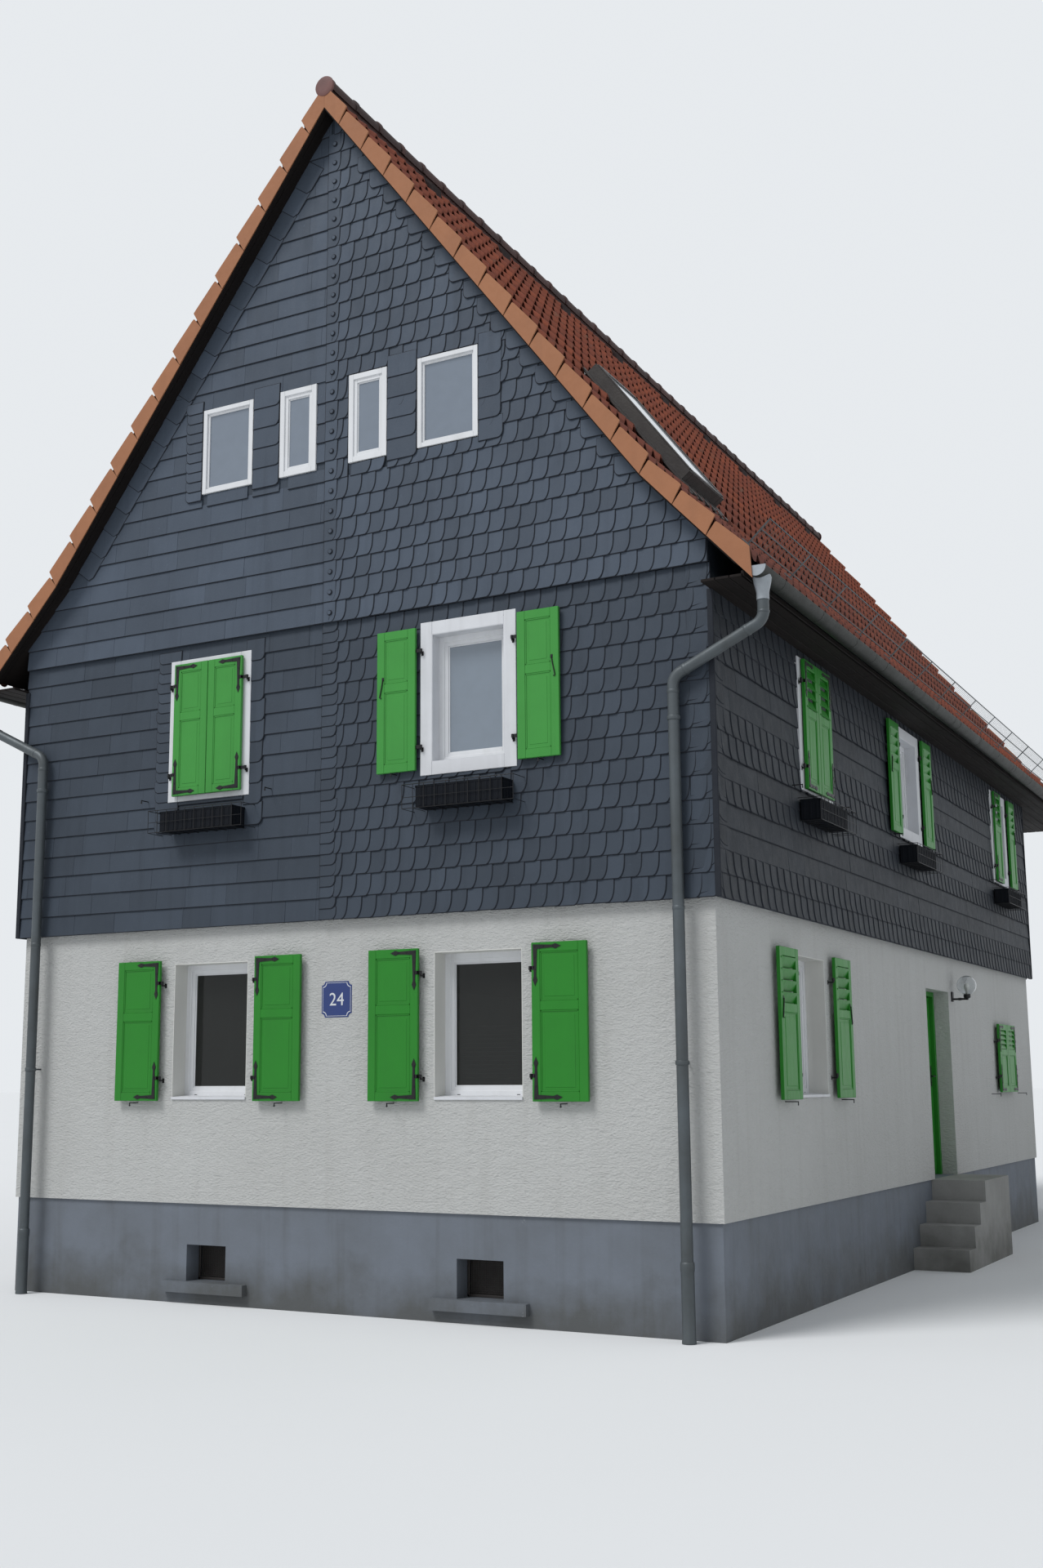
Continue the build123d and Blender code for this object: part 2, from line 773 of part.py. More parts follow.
# Entrance: frame in the recess, ledged leaf that opens inwards, masonry steps along the wall
door_face = half_width - door_recess
door_plane = Plane(origin=(door_face, front, 0), x_dir=(0, 1, 0), z_dir=(1, 0, 0))
door_leaf_low = door_low + door_frame_face + door_gap
door_leaf_high = door_high - door_frame_face - door_gap
door_leaf_back = door_face - door_frame_depth
door_foot = plinth_height + floor_gap
door_top = door_head - door_frame_face - door_gap
pivot_x = door_leaf_back - hinge_offset
pivot_y = front + door_leaf_low - door_gap / 2
hinge_feet = (door_foot + hinge_inset_on_door, door_top - hinge_inset_on_door - knuckle_height)
with BuildPart() as entrance_door:
    slab(door_leaf_back, door_leaf_back + door_leaf_thickness, front + door_leaf_low, front + door_leaf_high,
         door_foot, door_top)
    panel_width = door_leaf_high - door_leaf_low - 2 * door_rail
    panel_room = (door_top - door_foot - 3 * door_rail) / 2
    for face, depth in ((door_leaf_back, 1), (door_leaf_back + door_leaf_thickness, -1)):
        with BuildSketch(Plane(origin=(face, front, 0), x_dir=(0, 1, 0), z_dir=(1, 0, 0))):
            for foot in (door_foot + door_rail, door_foot + 2 * door_rail + panel_room):
                with Locations((door_centre, foot + panel_room / 2)):
                    Rectangle(panel_width, panel_room)
        extrude(amount=depth * door_panel_recess, mode=Mode.SUBTRACT)
    for foot in hinge_feet:
        with BuildSketch(Plane((pivot_x, pivot_y, foot))):
            RegularPolygon(knuckle_radius, knuckle_sides)
            with Locations((hinge_offset - hinge_flap_thickness / 2, hinge_flap / 2)):
                Rectangle(hinge_flap_thickness, hinge_flap)
            with Locations(((hinge_offset - hinge_flap_thickness) / 2, 0)):
                Rectangle(hinge_offset + hinge_flap_thickness, knuckle_radius)
            RegularPolygon(hinge_pin_radius + eye_clearance, knuckle_sides, major_radius=False,
                           mode=Mode.SUBTRACT)
        extrude(amount=knuckle_height)
    handle_y = front + door_leaf_high - door_rail / 2
    for face, out in ((door_leaf_back, -1), (door_leaf_back + door_leaf_thickness, 1)):
        grip = face + out * handle_stand_off
        low, high = sorted((face, face + out * handle_plate_thickness))
        slab(low, high, handle_y - handle_plate_width / 2, handle_y + handle_plate_width / 2,
             plinth_height + handle_height - handle_plate_height / 2,
             plinth_height + handle_height + handle_plate_height / 2)
        low, high = sorted((face, grip + out * handle_bar / 2))
        slab(low, high, handle_y - handle_bar / 2, handle_y + handle_bar / 2,
             plinth_height + handle_height - handle_bar / 2, plinth_height + handle_height + handle_bar / 2)
        low, high = sorted((grip - out * handle_bar / 2, grip + out * handle_bar / 2))
        slab(low, high, handle_y - handle_length, handle_y + handle_bar / 2,
             plinth_height + handle_height - handle_bar / 2, plinth_height + handle_height + handle_bar / 2)
save(entrance_door, "entrance_door")

with BuildPart() as door_frame:
    with BuildSketch(door_plane):
        with Locations((door_centre, (plinth_height + door_head) / 2)):
            Rectangle(door_width, door_head - plinth_height)
        with Locations((door_centre, (plinth_height + door_head - door_frame_face) / 2)):
            Rectangle(door_width - 2 * door_frame_face, door_head - door_frame_face - plinth_height,
                      mode=Mode.SUBTRACT)
    extrude(amount=-door_frame_depth)
    for foot in hinge_feet:
        with BuildSketch(Plane((pivot_x, pivot_y, foot - eye_clearance))):
            RegularPolygon(knuckle_radius, knuckle_sides)
            with Locations((hinge_offset - hinge_flap_thickness / 2, -hinge_flap / 2)):
                Rectangle(hinge_flap_thickness, hinge_flap)
            with Locations(((hinge_offset - hinge_flap_thickness) / 2, 0)):
                Rectangle(hinge_offset + hinge_flap_thickness, knuckle_radius)
        extrude(amount=-knuckle_height)
        with BuildSketch(Plane((pivot_x, pivot_y, foot - eye_clearance))):
            RegularPolygon(hinge_pin_radius, knuckle_sides)
        extrude(amount=knuckle_height)
save(door_frame, "door_frame")

step_rise = plinth_height / step_count
with BuildPart() as door_steps:
    landing_start = front + door_high + (landing_width - door_width) / 2
    landing_foot = landing_start - landing_width
    with BuildSketch(right_plane(-plinth_inset)):
        with BuildLine():
            corners = [(landing_start - front, 0), (landing_start - front, plinth_height)]
            for number in range(step_count):
                edge = landing_foot - front - number * step_going
                corners.append((edge, plinth_height - number * step_rise))
                corners.append((edge, plinth_height - (number + 1) * step_rise))
            Polyline(*corners, close=True)
        make_face()
    extrude(amount=step_reach)
save(door_steps, "door_steps")

# Wall lamp beside the door: plate, arm and cup, with a glass globe on the cup
lamp_y = front + lamp_place
arm_foot = lamp_plate_centre - lamp_plate_height / 4
globe_x = half_width + lamp_reach
cup_foot = arm_foot + lamp_arm_radius
with BuildPart() as wall_lamp:
    slab(half_width, half_width + lamp_plate_thickness, lamp_y - lamp_plate_width / 2,
         lamp_y + lamp_plate_width / 2, lamp_plate_centre - lamp_plate_height / 2,
         lamp_plate_centre + lamp_plate_height / 2)
    with BuildSketch(Plane(origin=(half_width, lamp_y, arm_foot), z_dir=(1, 0, 0))):
        RegularPolygon(lamp_arm_radius, knuckle_sides)
    extrude(amount=lamp_reach + lamp_arm_radius)
    with BuildSketch(Plane((globe_x, lamp_y, arm_foot))):
        RegularPolygon(lamp_cup_radius, knuckle_sides)
    extrude(amount=lamp_arm_radius + lamp_cup_height)
save(wall_lamp, "wall_lamp")

# The globe is blown glass, open below where it sits on the cup
globe_seat = cup_foot + lamp_cup_height
globe_rise = (globe_radius ** 2 - lamp_cup_radius ** 2) ** 0.5
with BuildPart() as lamp_globe:
    globe_origin = (globe_x, lamp_y, globe_seat + globe_rise)
    with BuildSketch(Plane(origin=globe_origin, x_dir=(1, 0, 0), z_dir=(0, -1, 0))):
        RegularPolygon(globe_radius, globe_sides)
        RegularPolygon(globe_radius - globe_wall, globe_sides, mode=Mode.SUBTRACT)
        with Locations((-globe_radius, 0)):
            Rectangle(2 * globe_radius, 2 * globe_radius, mode=Mode.SUBTRACT)
        with Locations((0, -globe_rise - globe_radius)):
            Rectangle(2 * globe_radius, 2 * globe_radius, mode=Mode.SUBTRACT)
    revolve(axis=Axis(globe_origin, (0, 0, 1)))
save(lamp_globe, "lamp_globe")

# Enamel plate between the street windows, its corners notched in quarter circles
with BuildPart() as number_plate:
    with BuildSketch(front_plane()):
        with Locations((plate_centre, plate_height)):
            Rectangle(plate_size, plate_size)
            with GridLocations(plate_size, plate_size, 2, 2):
                RegularPolygon(plate_notch, knuckle_sides, mode=Mode.SUBTRACT)
    extrude(amount=plate_thickness)
save(number_plate, "number_plate")


# Window frames and glass
def frame_sketch(window, stand_out, face):
    """A window frame's outline with its clear opening, on the wall's plane."""
    with BuildSketch(walls[window.wall](stand_out)) as outline:
        with Locations((window.centre, window.sill + window.height / 2)):
            Rectangle(window.width, window.height)
            Rectangle(window.width - 2 * face, window.height - 2 * face, mode=Mode.SUBTRACT)
    return outline.sketch


def glass_sketch(window, stand_out, face):
    """The pane that fills a window frame."""
    with BuildSketch(walls[window.wall](stand_out)) as pane:
        with Locations((window.centre, window.sill + window.height / 2)):
            Rectangle(window.width - 2 * face, window.height - 2 * face)
    return pane.sketch


window_rows = (
    (ground_windows, -window_recess),
    (upper_windows, slate_stand_out - upper_window_recess),
    (gable_windows, gable_stand_out + gable_frame_proud),
)
with BuildPart() as window_frames:
    for windows, stand_out in window_rows:
        for window in windows:
            extrude(frame_sketch(window, stand_out, frame_face), amount=-frame_depth)
save(window_frames, "window_frames")

with BuildPart() as window_glass:
    for windows, stand_out in window_rows:
        for window in windows:
            pane_depth = stand_out - (frame_depth - glass_thickness) / 2
            extrude(glass_sketch(window, pane_depth, frame_face), amount=-glass_thickness)
save(window_glass, "window_glass")

# White boards round the upper windows, standing on the slate
with BuildPart() as window_surrounds:
    for window in upper_windows:
        with BuildSketch(walls[window.wall](slate_stand_out)):
            with Locations((window.centre, window.sill + window.height / 2)):
                Rectangle(window.width + 2 * surround_face, window.height + 2 * surround_face)
                Rectangle(window.width, window.height, mode=Mode.SUBTRACT)
        extrude(amount=surround_thickness)
save(window_surrounds, "window_surrounds")

# Flower boxes in wire baskets under the street and side windows of the upper floor
boxed_windows = [window for window in upper_windows if window.wall in box_shifts]


def box_place(window):
    """Middle of a window's flower box along the wall, and its top."""
    drop = side_box_drop if window.wall == "right" else box_drop
    return window.centre + box_shifts[window.wall], window.sill - surround_face - drop


with BuildPart() as flower_boxes:
    for window in boxed_windows:
        centre, top = box_place(window)
        with BuildSketch(walls[window.wall](slate_stand_out + box_gap)):
            with Locations((centre, top - box_height / 2)):
                Rectangle(box_length, box_height)
        extrude(amount=box_depth)
        with BuildSketch(walls[window.wall](slate_stand_out + box_gap + box_wall)):
            with Locations((centre, top - box_height / 2 + box_wall)):
                Rectangle(box_length - 2 * box_wall, box_height)
        extrude(amount=box_depth - 2 * box_wall, mode=Mode.SUBTRACT)
save(flower_boxes, "flower_boxes")

# Each basket is a front grid, a bottom grid on which the box stands, two end frames and wall hangers
basket_depth = box_gap + box_depth + basket_room
with BuildPart() as box_baskets:
    for name in box_shifts:
        wall = walls[name]
        places = []
        for window in boxed_windows:
            if window.wall == name:
                top = box_place(window)[1]
                places.append((window.centre, top - box_height - wire, top + basket_rim,
                               window.sill - surround_face))
        with BuildSketch(wall(slate_stand_out + basket_depth)):
            for centre, foot, rim, hanger_top in places:
                with Locations((centre, (rim + foot) / 2)):
                    with GridLocations((basket_length - wire) / (basket_post_count - 1), 0,
                                       basket_post_count, 1):
                        Rectangle(wire, rim - foot)
                    with GridLocations(0, rim - foot - wire, 1, 2):
                        Rectangle(basket_length, wire)
        extrude(amount=wire)
        with BuildSketch(wall(slate_stand_out)):
            for centre, foot, rim, hanger_top in places:
                with Locations((centre, (hanger_top + foot) / 2)):
                    with GridLocations(upper_window_width + 2 * surround_face - 2 * wire, 0, 2, 1):
                        Rectangle(wire, hanger_top - foot)
                with Locations((centre, foot + wire / 2), (centre, rim - wire / 2)):
                    Rectangle(basket_length, wire)
        extrude(amount=wire)
        across = wall(slate_stand_out + basket_depth / 2)
        for level, count in ((1, basket_post_count), (2, 2)):
            bars = [Plane(origin=across.from_local_coords((place[0], place[level] - (level - 1) * wire, 0)),
                          x_dir=across.x_dir, z_dir=(0, 0, 1)) for place in places]
            with BuildSketch(*bars):
                with GridLocations((basket_length - wire) / (count - 1), 0, count, 1):
                    Rectangle(wire, basket_depth)
            extrude(amount=wire)
save(box_baskets, "box_baskets")

# Shutters: every leaf hangs on two pins and is its own piece; the angle straps are on the street face of
# the upper leaves and on the room face of the ground-floor ones
Leaf = namedtuple("Leaf", "name wall axis inward width height foot stand_out eye_offset louvred closed")


def pair_of_leaves(window, width, height, eye_offset, stand_out, louvred, closed):
    """The two leaves of a window: inward is +1 where the closed leaf extends along the wall's local x."""
    reach = width + eye_offset + meeting_gap / 2
    foot = window.sill + (window.height - height) / 2
    return [
        Leaf(f"shutter_{window.name}_{hand}", window.wall, window.centre - inward * reach, inward, width,
             height, foot, stand_out, eye_offset, louvred, shut)
        for hand, inward, shut in (("a", 1, closed[0]), ("b", -1, closed[1]))
    ]


upper_stand_out = slate_stand_out + surround_thickness + surround_stand_off
leaves = []
for window, louvred, closed in (
    (ground_windows[0], False, (False, False)),
    (ground_windows[1], False, (False, False)),
    (ground_windows[2], True, (False, False)),
):
    leaves += pair_of_leaves(window, ground_leaf_width, ground_leaf_height, ground_eye_offset,
                             leaf_stand_off, louvred, closed)
leaves += pair_of_leaves(ground_windows[3], ground_leaf_width, short_leaf_height, ground_eye_offset,
                         leaf_stand_off, True, (True, True))
for window, height, louvred, closed in (
    (upper_windows[0], upper_leaf_height, False, (True, True)),
    (upper_windows[1], upper_leaf_height, False, (False, False)),
    (upper_windows[2], side_leaf_height, True, (True, True)),
    (upper_windows[3], side_leaf_height, True, (False, False)),
    (upper_windows[4], side_leaf_height, True, (True, False)),
):
    leaves += pair_of_leaves(window, upper_leaf_width, height, upper_eye_offset, upper_stand_out,
                             louvred, closed)


def leaf_plane(leaf, forward=0.0):
    """The leaf's middle plane at rest: local x from the hinge pin to the free edge, local y up."""
    wall = walls[leaf.wall](leaf.stand_out + leaf_thickness / 2 + forward)
    away = leaf.inward if leaf.closed else -leaf.inward
    origin = wall.from_local_coords((leaf.axis, leaf.foot, 0))
    return Plane(origin=origin, x_dir=wall.x_dir * away, z_dir=wall.z_dir * away)


def hinge_heights(leaf):
    """Heights of the two straps' middles, from the foot of the leaf."""
    return (hinge_inset, leaf.height - hinge_inset)


def eye_sketch(places, radius):
    """Outlines of hinge eyes, bores or pins, one at each place on a hinge axis."""
    with BuildSketch(*[Plane(origin=place) for place in places]) as outline:
        RegularPolygon(radius, eye_sides, major_radius=False)
    return outline.sketch


for leaf in leaves:
    plane = leaf_plane(leaf)
    middle = (leaf.eye_offset + leaf.width / 2, leaf.height / 2)
    panel_width = leaf.width - 2 * leaf_rail
    panel_room = leaf.height - 3 * leaf_rail
    low_panel = panel_room * panel_split
    high_panel = panel_room - low_panel
    low_centre = (middle[0], leaf_rail + low_panel / 2)
    high_centre = (middle[0], leaf.height - leaf_rail - high_panel / 2)
    eye_feet = [plane.from_local_coords((0, height - eye_height / 2, 0)) for height in hinge_heights(leaf)]
    with BuildPart() as shutter:
        with BuildSketch(plane):
            with Locations(middle):
                Rectangle(leaf.width, leaf.height)
            if leaf.louvred:
                with Locations(high_centre):
                    Rectangle(panel_width, high_panel, mode=Mode.SUBTRACT)
        extrude(amount=leaf_thickness / 2, both=True)
        with BuildSketch(plane.offset(leaf_thickness / 2 - panel_recess),
                         plane.offset(-leaf_thickness / 2)):
            with Locations(low_centre):
                Rectangle(panel_width, low_panel)
            if not leaf.louvred:
                with Locations(high_centre):
                    Rectangle(panel_width, high_panel)
        extrude(amount=panel_recess, mode=Mode.SUBTRACT)
        if leaf.louvred:
            slat_start = plane.from_local_coords((leaf.eye_offset + leaf_rail / 2, 0, 0))
            slat_plane = Plane(origin=slat_start, x_dir=-plane.z_dir, z_dir=plane.x_dir)
            with BuildSketch(slat_plane):
                for number in range(louvre_count):
                    height = high_centre[1] + ((number + 0.5) / louvre_count - 0.5) * high_panel
                    with Locations((0, height)):
                        Rectangle(louvre_depth, louvre_thickness, rotation=leaf.inward * louvre_angle)
            extrude(amount=leaf.width - leaf_rail)
        strap_side = leaf.inward if leaf.stand_out == upper_stand_out else -leaf.inward
        with BuildSketch(plane.offset(strap_side * leaf_thickness / 2)):
            for end, into_leaf in ((0, 1), (leaf.height, -1)):
                with Locations((leaf.eye_offset + strap_margin + strap_length / 2,
                                end + into_leaf * (strap_margin + strap_height / 2))):
                    Rectangle(strap_length, strap_height)
                with Locations((leaf.eye_offset + strap_margin + strap_height / 2,
                                end + into_leaf * (strap_margin + strap_upright / 2))):
                    Rectangle(strap_height, strap_upright)
        extrude(amount=strap_side * strap_thickness)
        with BuildSketch(plane.offset(-strap_thickness / 2)):
            for height in hinge_heights(leaf):
                with Locations((leaf.eye_offset / 2 + pin_radius, height)):
                    Rectangle(leaf.eye_offset, strap_height)
        extrude(amount=strap_thickness)
        extrude(eye_sketch(eye_feet, pin_radius + eye_clearance + eye_wall), amount=eye_height)
        extrude(eye_sketch(eye_feet, pin_radius + eye_clearance), amount=eye_height, mode=Mode.SUBTRACT)
    save(shutter, leaf.name)

# Pintles: a pin for each eye, on an arm from the wall or the surround; a turn-down holder under each open leaf
pintle_arm = 14


def pin_feet(leaf):
    """Heights of the two pins' feet, from the foot of the leaf."""
    return [height - eye_height / 2 - eye_clearance - pintle_arm for height in hinge_heights(leaf)]


leaf_groups = {}
for leaf in leaves:
    leaf_groups.setdefault((leaf.wall, leaf.stand_out), []).append(leaf)
with BuildPart() as shutter_pintles:
    pin_places = [leaf_plane(leaf).from_local_coords((0, foot, 0))
                  for leaf in leaves for foot in pin_feet(leaf)]
    extrude(eye_sketch(pin_places, pin_radius * cos(pi / eye_sides)),
            amount=pintle_arm + eye_height + eye_clearance)
    for (wall, stand_out), group in leaf_groups.items():
        on_slate = stand_out == upper_stand_out
        wall_face = slate_stand_out if on_slate else 0
        arm_face = wall_face + surround_thickness if on_slate else 0
        axis_stand_out = stand_out + leaf_thickness / 2
        with BuildSketch(walls[wall](arm_face)):
            for leaf in group:
                for foot in pin_feet(leaf):
                    with Locations((leaf.axis, leaf.foot + foot + pintle_arm / 2)):
                        Rectangle(2 * pin_radius, pintle_arm)
        extrude(amount=axis_stand_out - arm_face)
        holders = [(leaf.axis - leaf.inward * (leaf.eye_offset + leaf.width * holder_place),
                    leaf.foot - holder_drop) for leaf in group]
        with BuildSketch(walls[wall](wall_face)):
            for place, top in holders:
                with Locations((place, top - holder_pin / 2)):
                    Rectangle(holder_pin, holder_pin)
        extrude(amount=axis_stand_out + holder_reach - wall_face)
        with BuildSketch(walls[wall](axis_stand_out + holder_reach - holder_pin)):
            for place, top in holders:
                with Locations((place, top - holder_rise / 2)):
                    Rectangle(holder_pin, holder_rise)
        extrude(amount=holder_pin)
save(shutter_pintles, "shutter_pintles")
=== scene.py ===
import math
import random

import bmesh
import bpy
from mathutils import Matrix, Vector


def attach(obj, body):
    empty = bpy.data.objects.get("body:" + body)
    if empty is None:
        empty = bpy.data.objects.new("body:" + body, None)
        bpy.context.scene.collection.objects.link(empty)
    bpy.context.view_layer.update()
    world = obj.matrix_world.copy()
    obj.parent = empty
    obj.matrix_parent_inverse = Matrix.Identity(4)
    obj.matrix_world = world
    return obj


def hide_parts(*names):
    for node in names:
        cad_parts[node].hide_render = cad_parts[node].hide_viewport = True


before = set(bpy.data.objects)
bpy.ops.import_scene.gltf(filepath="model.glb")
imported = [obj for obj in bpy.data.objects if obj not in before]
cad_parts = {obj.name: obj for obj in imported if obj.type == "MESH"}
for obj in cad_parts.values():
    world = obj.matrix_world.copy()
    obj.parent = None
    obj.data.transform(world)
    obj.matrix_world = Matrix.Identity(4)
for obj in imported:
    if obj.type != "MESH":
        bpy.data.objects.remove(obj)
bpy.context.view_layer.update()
random.seed(41)

# Metres. X along the street, Y from the street gable to the rear gable, Z up.
house = {"halfWidth": 3.4, "front": -6.95, "rear": 6.95, "sideEnd": 4.65, "bayFace": 2.8, "plinth": 0.82,
         "slateFoot": 3.17, "gableFoot": 5.72, "slateOut": 0.05, "gableOut": 0.075, "sideTop": 5.51,
         "verge": 0.25, "apex": 10.45, "eaves": 5.613, "kneeRise": 0.803, "kneeReach": 2.99,
         "eavesReach": 3.726, "tileTop": 0.157}
roofPitch = math.atan2(house["apex"] - house["eaves"] - house["kneeRise"], house["kneeReach"])
eavesPitch = math.atan2(house["kneeRise"], house["eavesReach"] - house["kneeReach"])
kneeHeight = house["eaves"] + house["kneeRise"]
roofStart = house["front"] - house["verge"]
roofEnd = house["rear"] + house["verge"]
slateSides = house["halfWidth"] + house["slateOut"]

# Each wall: origin, the way along it seen from outside, and the way out of it
walls = {
    "front": (Vector((0, house["front"], 0)), Vector((1, 0, 0)), Vector((0, -1, 0))),
    "right": (Vector((house["halfWidth"], house["front"], 0)), Vector((0, 1, 0)), Vector((1, 0, 0))),
    "left": (Vector((-house["halfWidth"], house["rear"], 0)), Vector((0, -1, 0)), Vector((-1, 0, 0))),
    "rear": (Vector((0, house["rear"], 0)), Vector((-1, 0, 0)), Vector((0, 1, 0))),
    "bay": (Vector((house["bayFace"], house["front"], 0)), Vector((0, 1, 0)), Vector((1, 0, 0))),
    "return": (Vector((0, house["sideEnd"], 0)), Vector((-1, 0, 0)), Vector((0, 1, 0))),
}


def wallPlace(wall):
    # along the wall, up, and out of it
    origin, way, outward = walls[wall]
    return lambda p: origin + way * p[0] + outward * p[2] + Vector((0, 0, p[1]))


def uprightIn(place):
    # the same frame with up as its last axis, for what is turned about a standing axis
    return lambda p: place((p[0], p[2], p[1]))


def underside(x):
    reach = abs(x)
    if reach <= house["kneeReach"]:
        return house["apex"] - reach * math.tan(roofPitch)
    return kneeHeight - (reach - house["kneeReach"]) * math.tan(eavesPitch)


def roofLine(rise):
    # apex, knee and foot of the line at a rise above the roof's underside
    mean, halfTurn = (roofPitch + eavesPitch) / 2, (roofPitch - eavesPitch) / 2
    return [(0, house["apex"] + rise / math.cos(roofPitch)),
            (house["kneeReach"] + rise * math.sin(mean) / math.cos(halfTurn),
             kneeHeight + rise * math.cos(mean) / math.cos(halfTurn)),
            (house["eavesReach"] + rise * math.sin(eavesPitch), house["eaves"] + rise * math.cos(eavesPitch))]


def slopePoint(side, distance, rise, y):
    # a point on one slope, by its distance down from the ridge along the line at that rise
    apex, knee, foot = roofLine(rise)
    upper, lower = math.dist(apex, knee), math.dist(knee, foot)
    if distance <= upper:
        share, low, high = distance / upper, apex, knee
    else:
        share, low, high = (distance - upper) / lower, knee, foot
    return Vector((side * (low[0] + share * (high[0] - low[0])), y, low[1] + share * (high[1] - low[1])))


tileApex, tileKnee, tileFoot = roofLine(house["tileTop"])
slopeLength = math.dist(tileApex, tileKnee) + math.dist(tileKnee, tileFoot)


def circle(x, y, radius, sides):
    turns = [2 * math.pi * k / sides for k in range(sides)]
    return [(x + radius * math.cos(turn), y + radius * math.sin(turn)) for turn in turns]


class Shape:
    # loose parts gathered for one mesh, placed through one local frame
    def __init__(self, place=Vector):
        self.points, self.faces, self.marks, self.place = [], [], [], place

    def add(self, points, faces, mark=0):
        start = len(self.points)
        self.points += [self.place(p) for p in points]
        self.faces += [[start + corner for corner in face] for face in faces]
        self.marks += [mark] * len(faces)

    def loft(self, loops, ends="flat"):
        # closed loops of one length joined in order; "band" ends close a thin wall that runs out and back
        count, last = len(loops[0]), (len(loops) - 1) * len(loops[0])
        faces = [[r + i, r + (i + 1) % count, r + count + (i + 1) % count, r + count + i]
                 for r in range(0, last, count) for i in range(count)]
        if ends in ("flat", "first"):
            faces.append(list(range(count))[::-1])
        if ends == "flat":
            faces.append(list(range(last, last + count)))
        if ends == "band":
            faces += [[start + i, start + i + 1, start + count - 2 - i, start + count - 1 - i]
                      for start in (0, last) for i in range(count // 2 - 1)]
        self.add([p for loop in loops for p in loop], faces)

    def block(self, low, high, bevel=0.002):
        # a box with its edges and corners taken off
        low, high = [min(a, b) for a, b in zip(low, high)], [max(a, b) for a, b in zip(low, high)]
        cut = min(bevel, 0.4 * min(b - a for a, b in zip(low, high)))
        corners = [(x, y, z) for x in (0, 1) for y in (0, 1) for z in (0, 1)]
        number = {corner: 3 * i for i, corner in enumerate(corners)}
        points = [[(high if corner[i] else low)[i] + (0 if i == axis else (-cut if corner[i] else cut))
                   for i in range(3)] for corner in corners for axis in range(3)]
        faces = [[number[c], number[c] + 1, number[c] + 2] for c in corners]
        for axis in range(3):
            u, v = (axis + 1) % 3, (axis + 2) % 3
            for side in (0, 1):
                loop = []
                for a, b in ((0, 0), (1, 0), (1, 1), (0, 1)):
                    corner = [0, 0, 0]
                    corner[axis], corner[u], corner[v] = side, a, b
                    loop.append(number[tuple(corner)] + axis)
                faces.append(loop)
                for other in (0, 1):
                    near, far = [0, 0, 0], [0, 0, 0]
                    near[u] = far[u] = side
                    near[v] = far[v] = other
                    far[axis] = 1
                    faces.append([number[tuple(near)] + u, number[tuple(far)] + u,
                                  number[tuple(far)] + v, number[tuple(near)] + v])
        self.add(points, faces)

    def border(self, left, right, foot, top, wide, out, bevel, deep=None, past=0):
        # four bars just inside a rectangle, out from one depth to another
        deep = deep or wide
        for begin, end in (((left - past, foot), (left + wide, top)),
                           ((right - wide, foot), (right + past, top)),
                           ((left, foot - past), (right, foot + deep)),
                           ((left, top - deep), (right, top + past))):
            self.block((*begin, out[0]), (*end, out[1]), bevel)

    def framing(self, left, right, foot, top, wide, back, front, bevel, rails=None, tuck=0.0,
                thin=(0.0, 0.0)):
        # two stiles with rails let in between them, which may be thinner at the back and front
        self.block((left, foot, back), (left + wide, top, front), bevel)
        self.block((right - wide, foot, back), (right, top, front), bevel)
        for low in rails or (foot, top - wide):
            self.block((left + wide - tuck, low, back + thin[0]),
                       (right - wide + tuck, low + wide, front - thin[1]), bevel)

    def prism(self, outline, low, high):
        # a flat outline in the first two coordinates, carried along the third
        self.loft([[(x, y, level) for x, y in outline] for level in (low, high)])

    def tube(self, path, radius, sides=10, ends="flat"):
        # a round bar along a path; radius may be one number or one for each point
        path = [Vector(p) for p in path]
        radii = radius if hasattr(radius, "__len__") else [radius] * len(path)
        loops, last = [], None
        for i, p in enumerate(path):
            way = (path[min(i + 1, len(path) - 1)] - path[max(i - 1, 0)]).normalized()
            if last is None:
                across = way.cross(Vector((0, 0, 1)) if abs(way.z) < 0.9 else Vector((1, 0, 0))).normalized()
            else:
                across = (last - way * last.dot(way)).normalized()
            last = across
            other = way.cross(across)
            loops.append([p + across * x + other * y for x, y in circle(0, 0, radii[i], sides)])
        self.loft(loops, ends)

    def lathe(self, centre, profile, sides=20):
        # a profile of (radius, height) turned about a standing axis
        x, y, z = centre
        self.loft([[(*p, z + height) for p in circle(x, y, radius, sides)]
                   for radius, height in profile], None)

    def piece(self, name, material, body="house", slot=None, replaced=(), smooth=0, second=None, weld=0):
        mesh = bpy.data.meshes.new(name)
        mesh.from_pydata(self.points, [], self.faces)
        mesh.polygons.foreach_set("material_index", self.marks)
        work = bmesh.new()
        work.from_mesh(mesh)
        if weld:
            bmesh.ops.remove_doubles(work, verts=work.verts, dist=weld)
        bmesh.ops.recalc_face_normals(work, faces=work.faces)
        work.to_mesh(mesh)
        work.free()
        mesh.materials.append(material)
        if second:
            mesh.materials.append(second)
        if smooth:
            mesh.shade_smooth()
            mesh.set_sharp_from_angle(angle=math.radians(smooth))
        made = bpy.data.objects.new(name, mesh)
        bpy.context.scene.collection.objects.link(made)
        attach(made, body)
        if replaced:
            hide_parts(*replaced)
        return made


# Materials: small helpers for nodes, then the effects that several finishes share
def addNode(tree, kind, inputs=None, **settings):
    made = tree.nodes.new(kind)
    for key, value in settings.items():
        setattr(made, key, value)
    for key, value in (inputs or {}).items():
        if isinstance(value, bpy.types.NodeSocket):
            tree.links.new(value, made.inputs[key])
        else:
            made.inputs[key].default_value = value
    return made


def position(tree):
    return addNode(tree, "ShaderNodeNewGeometry").outputs["Position"]


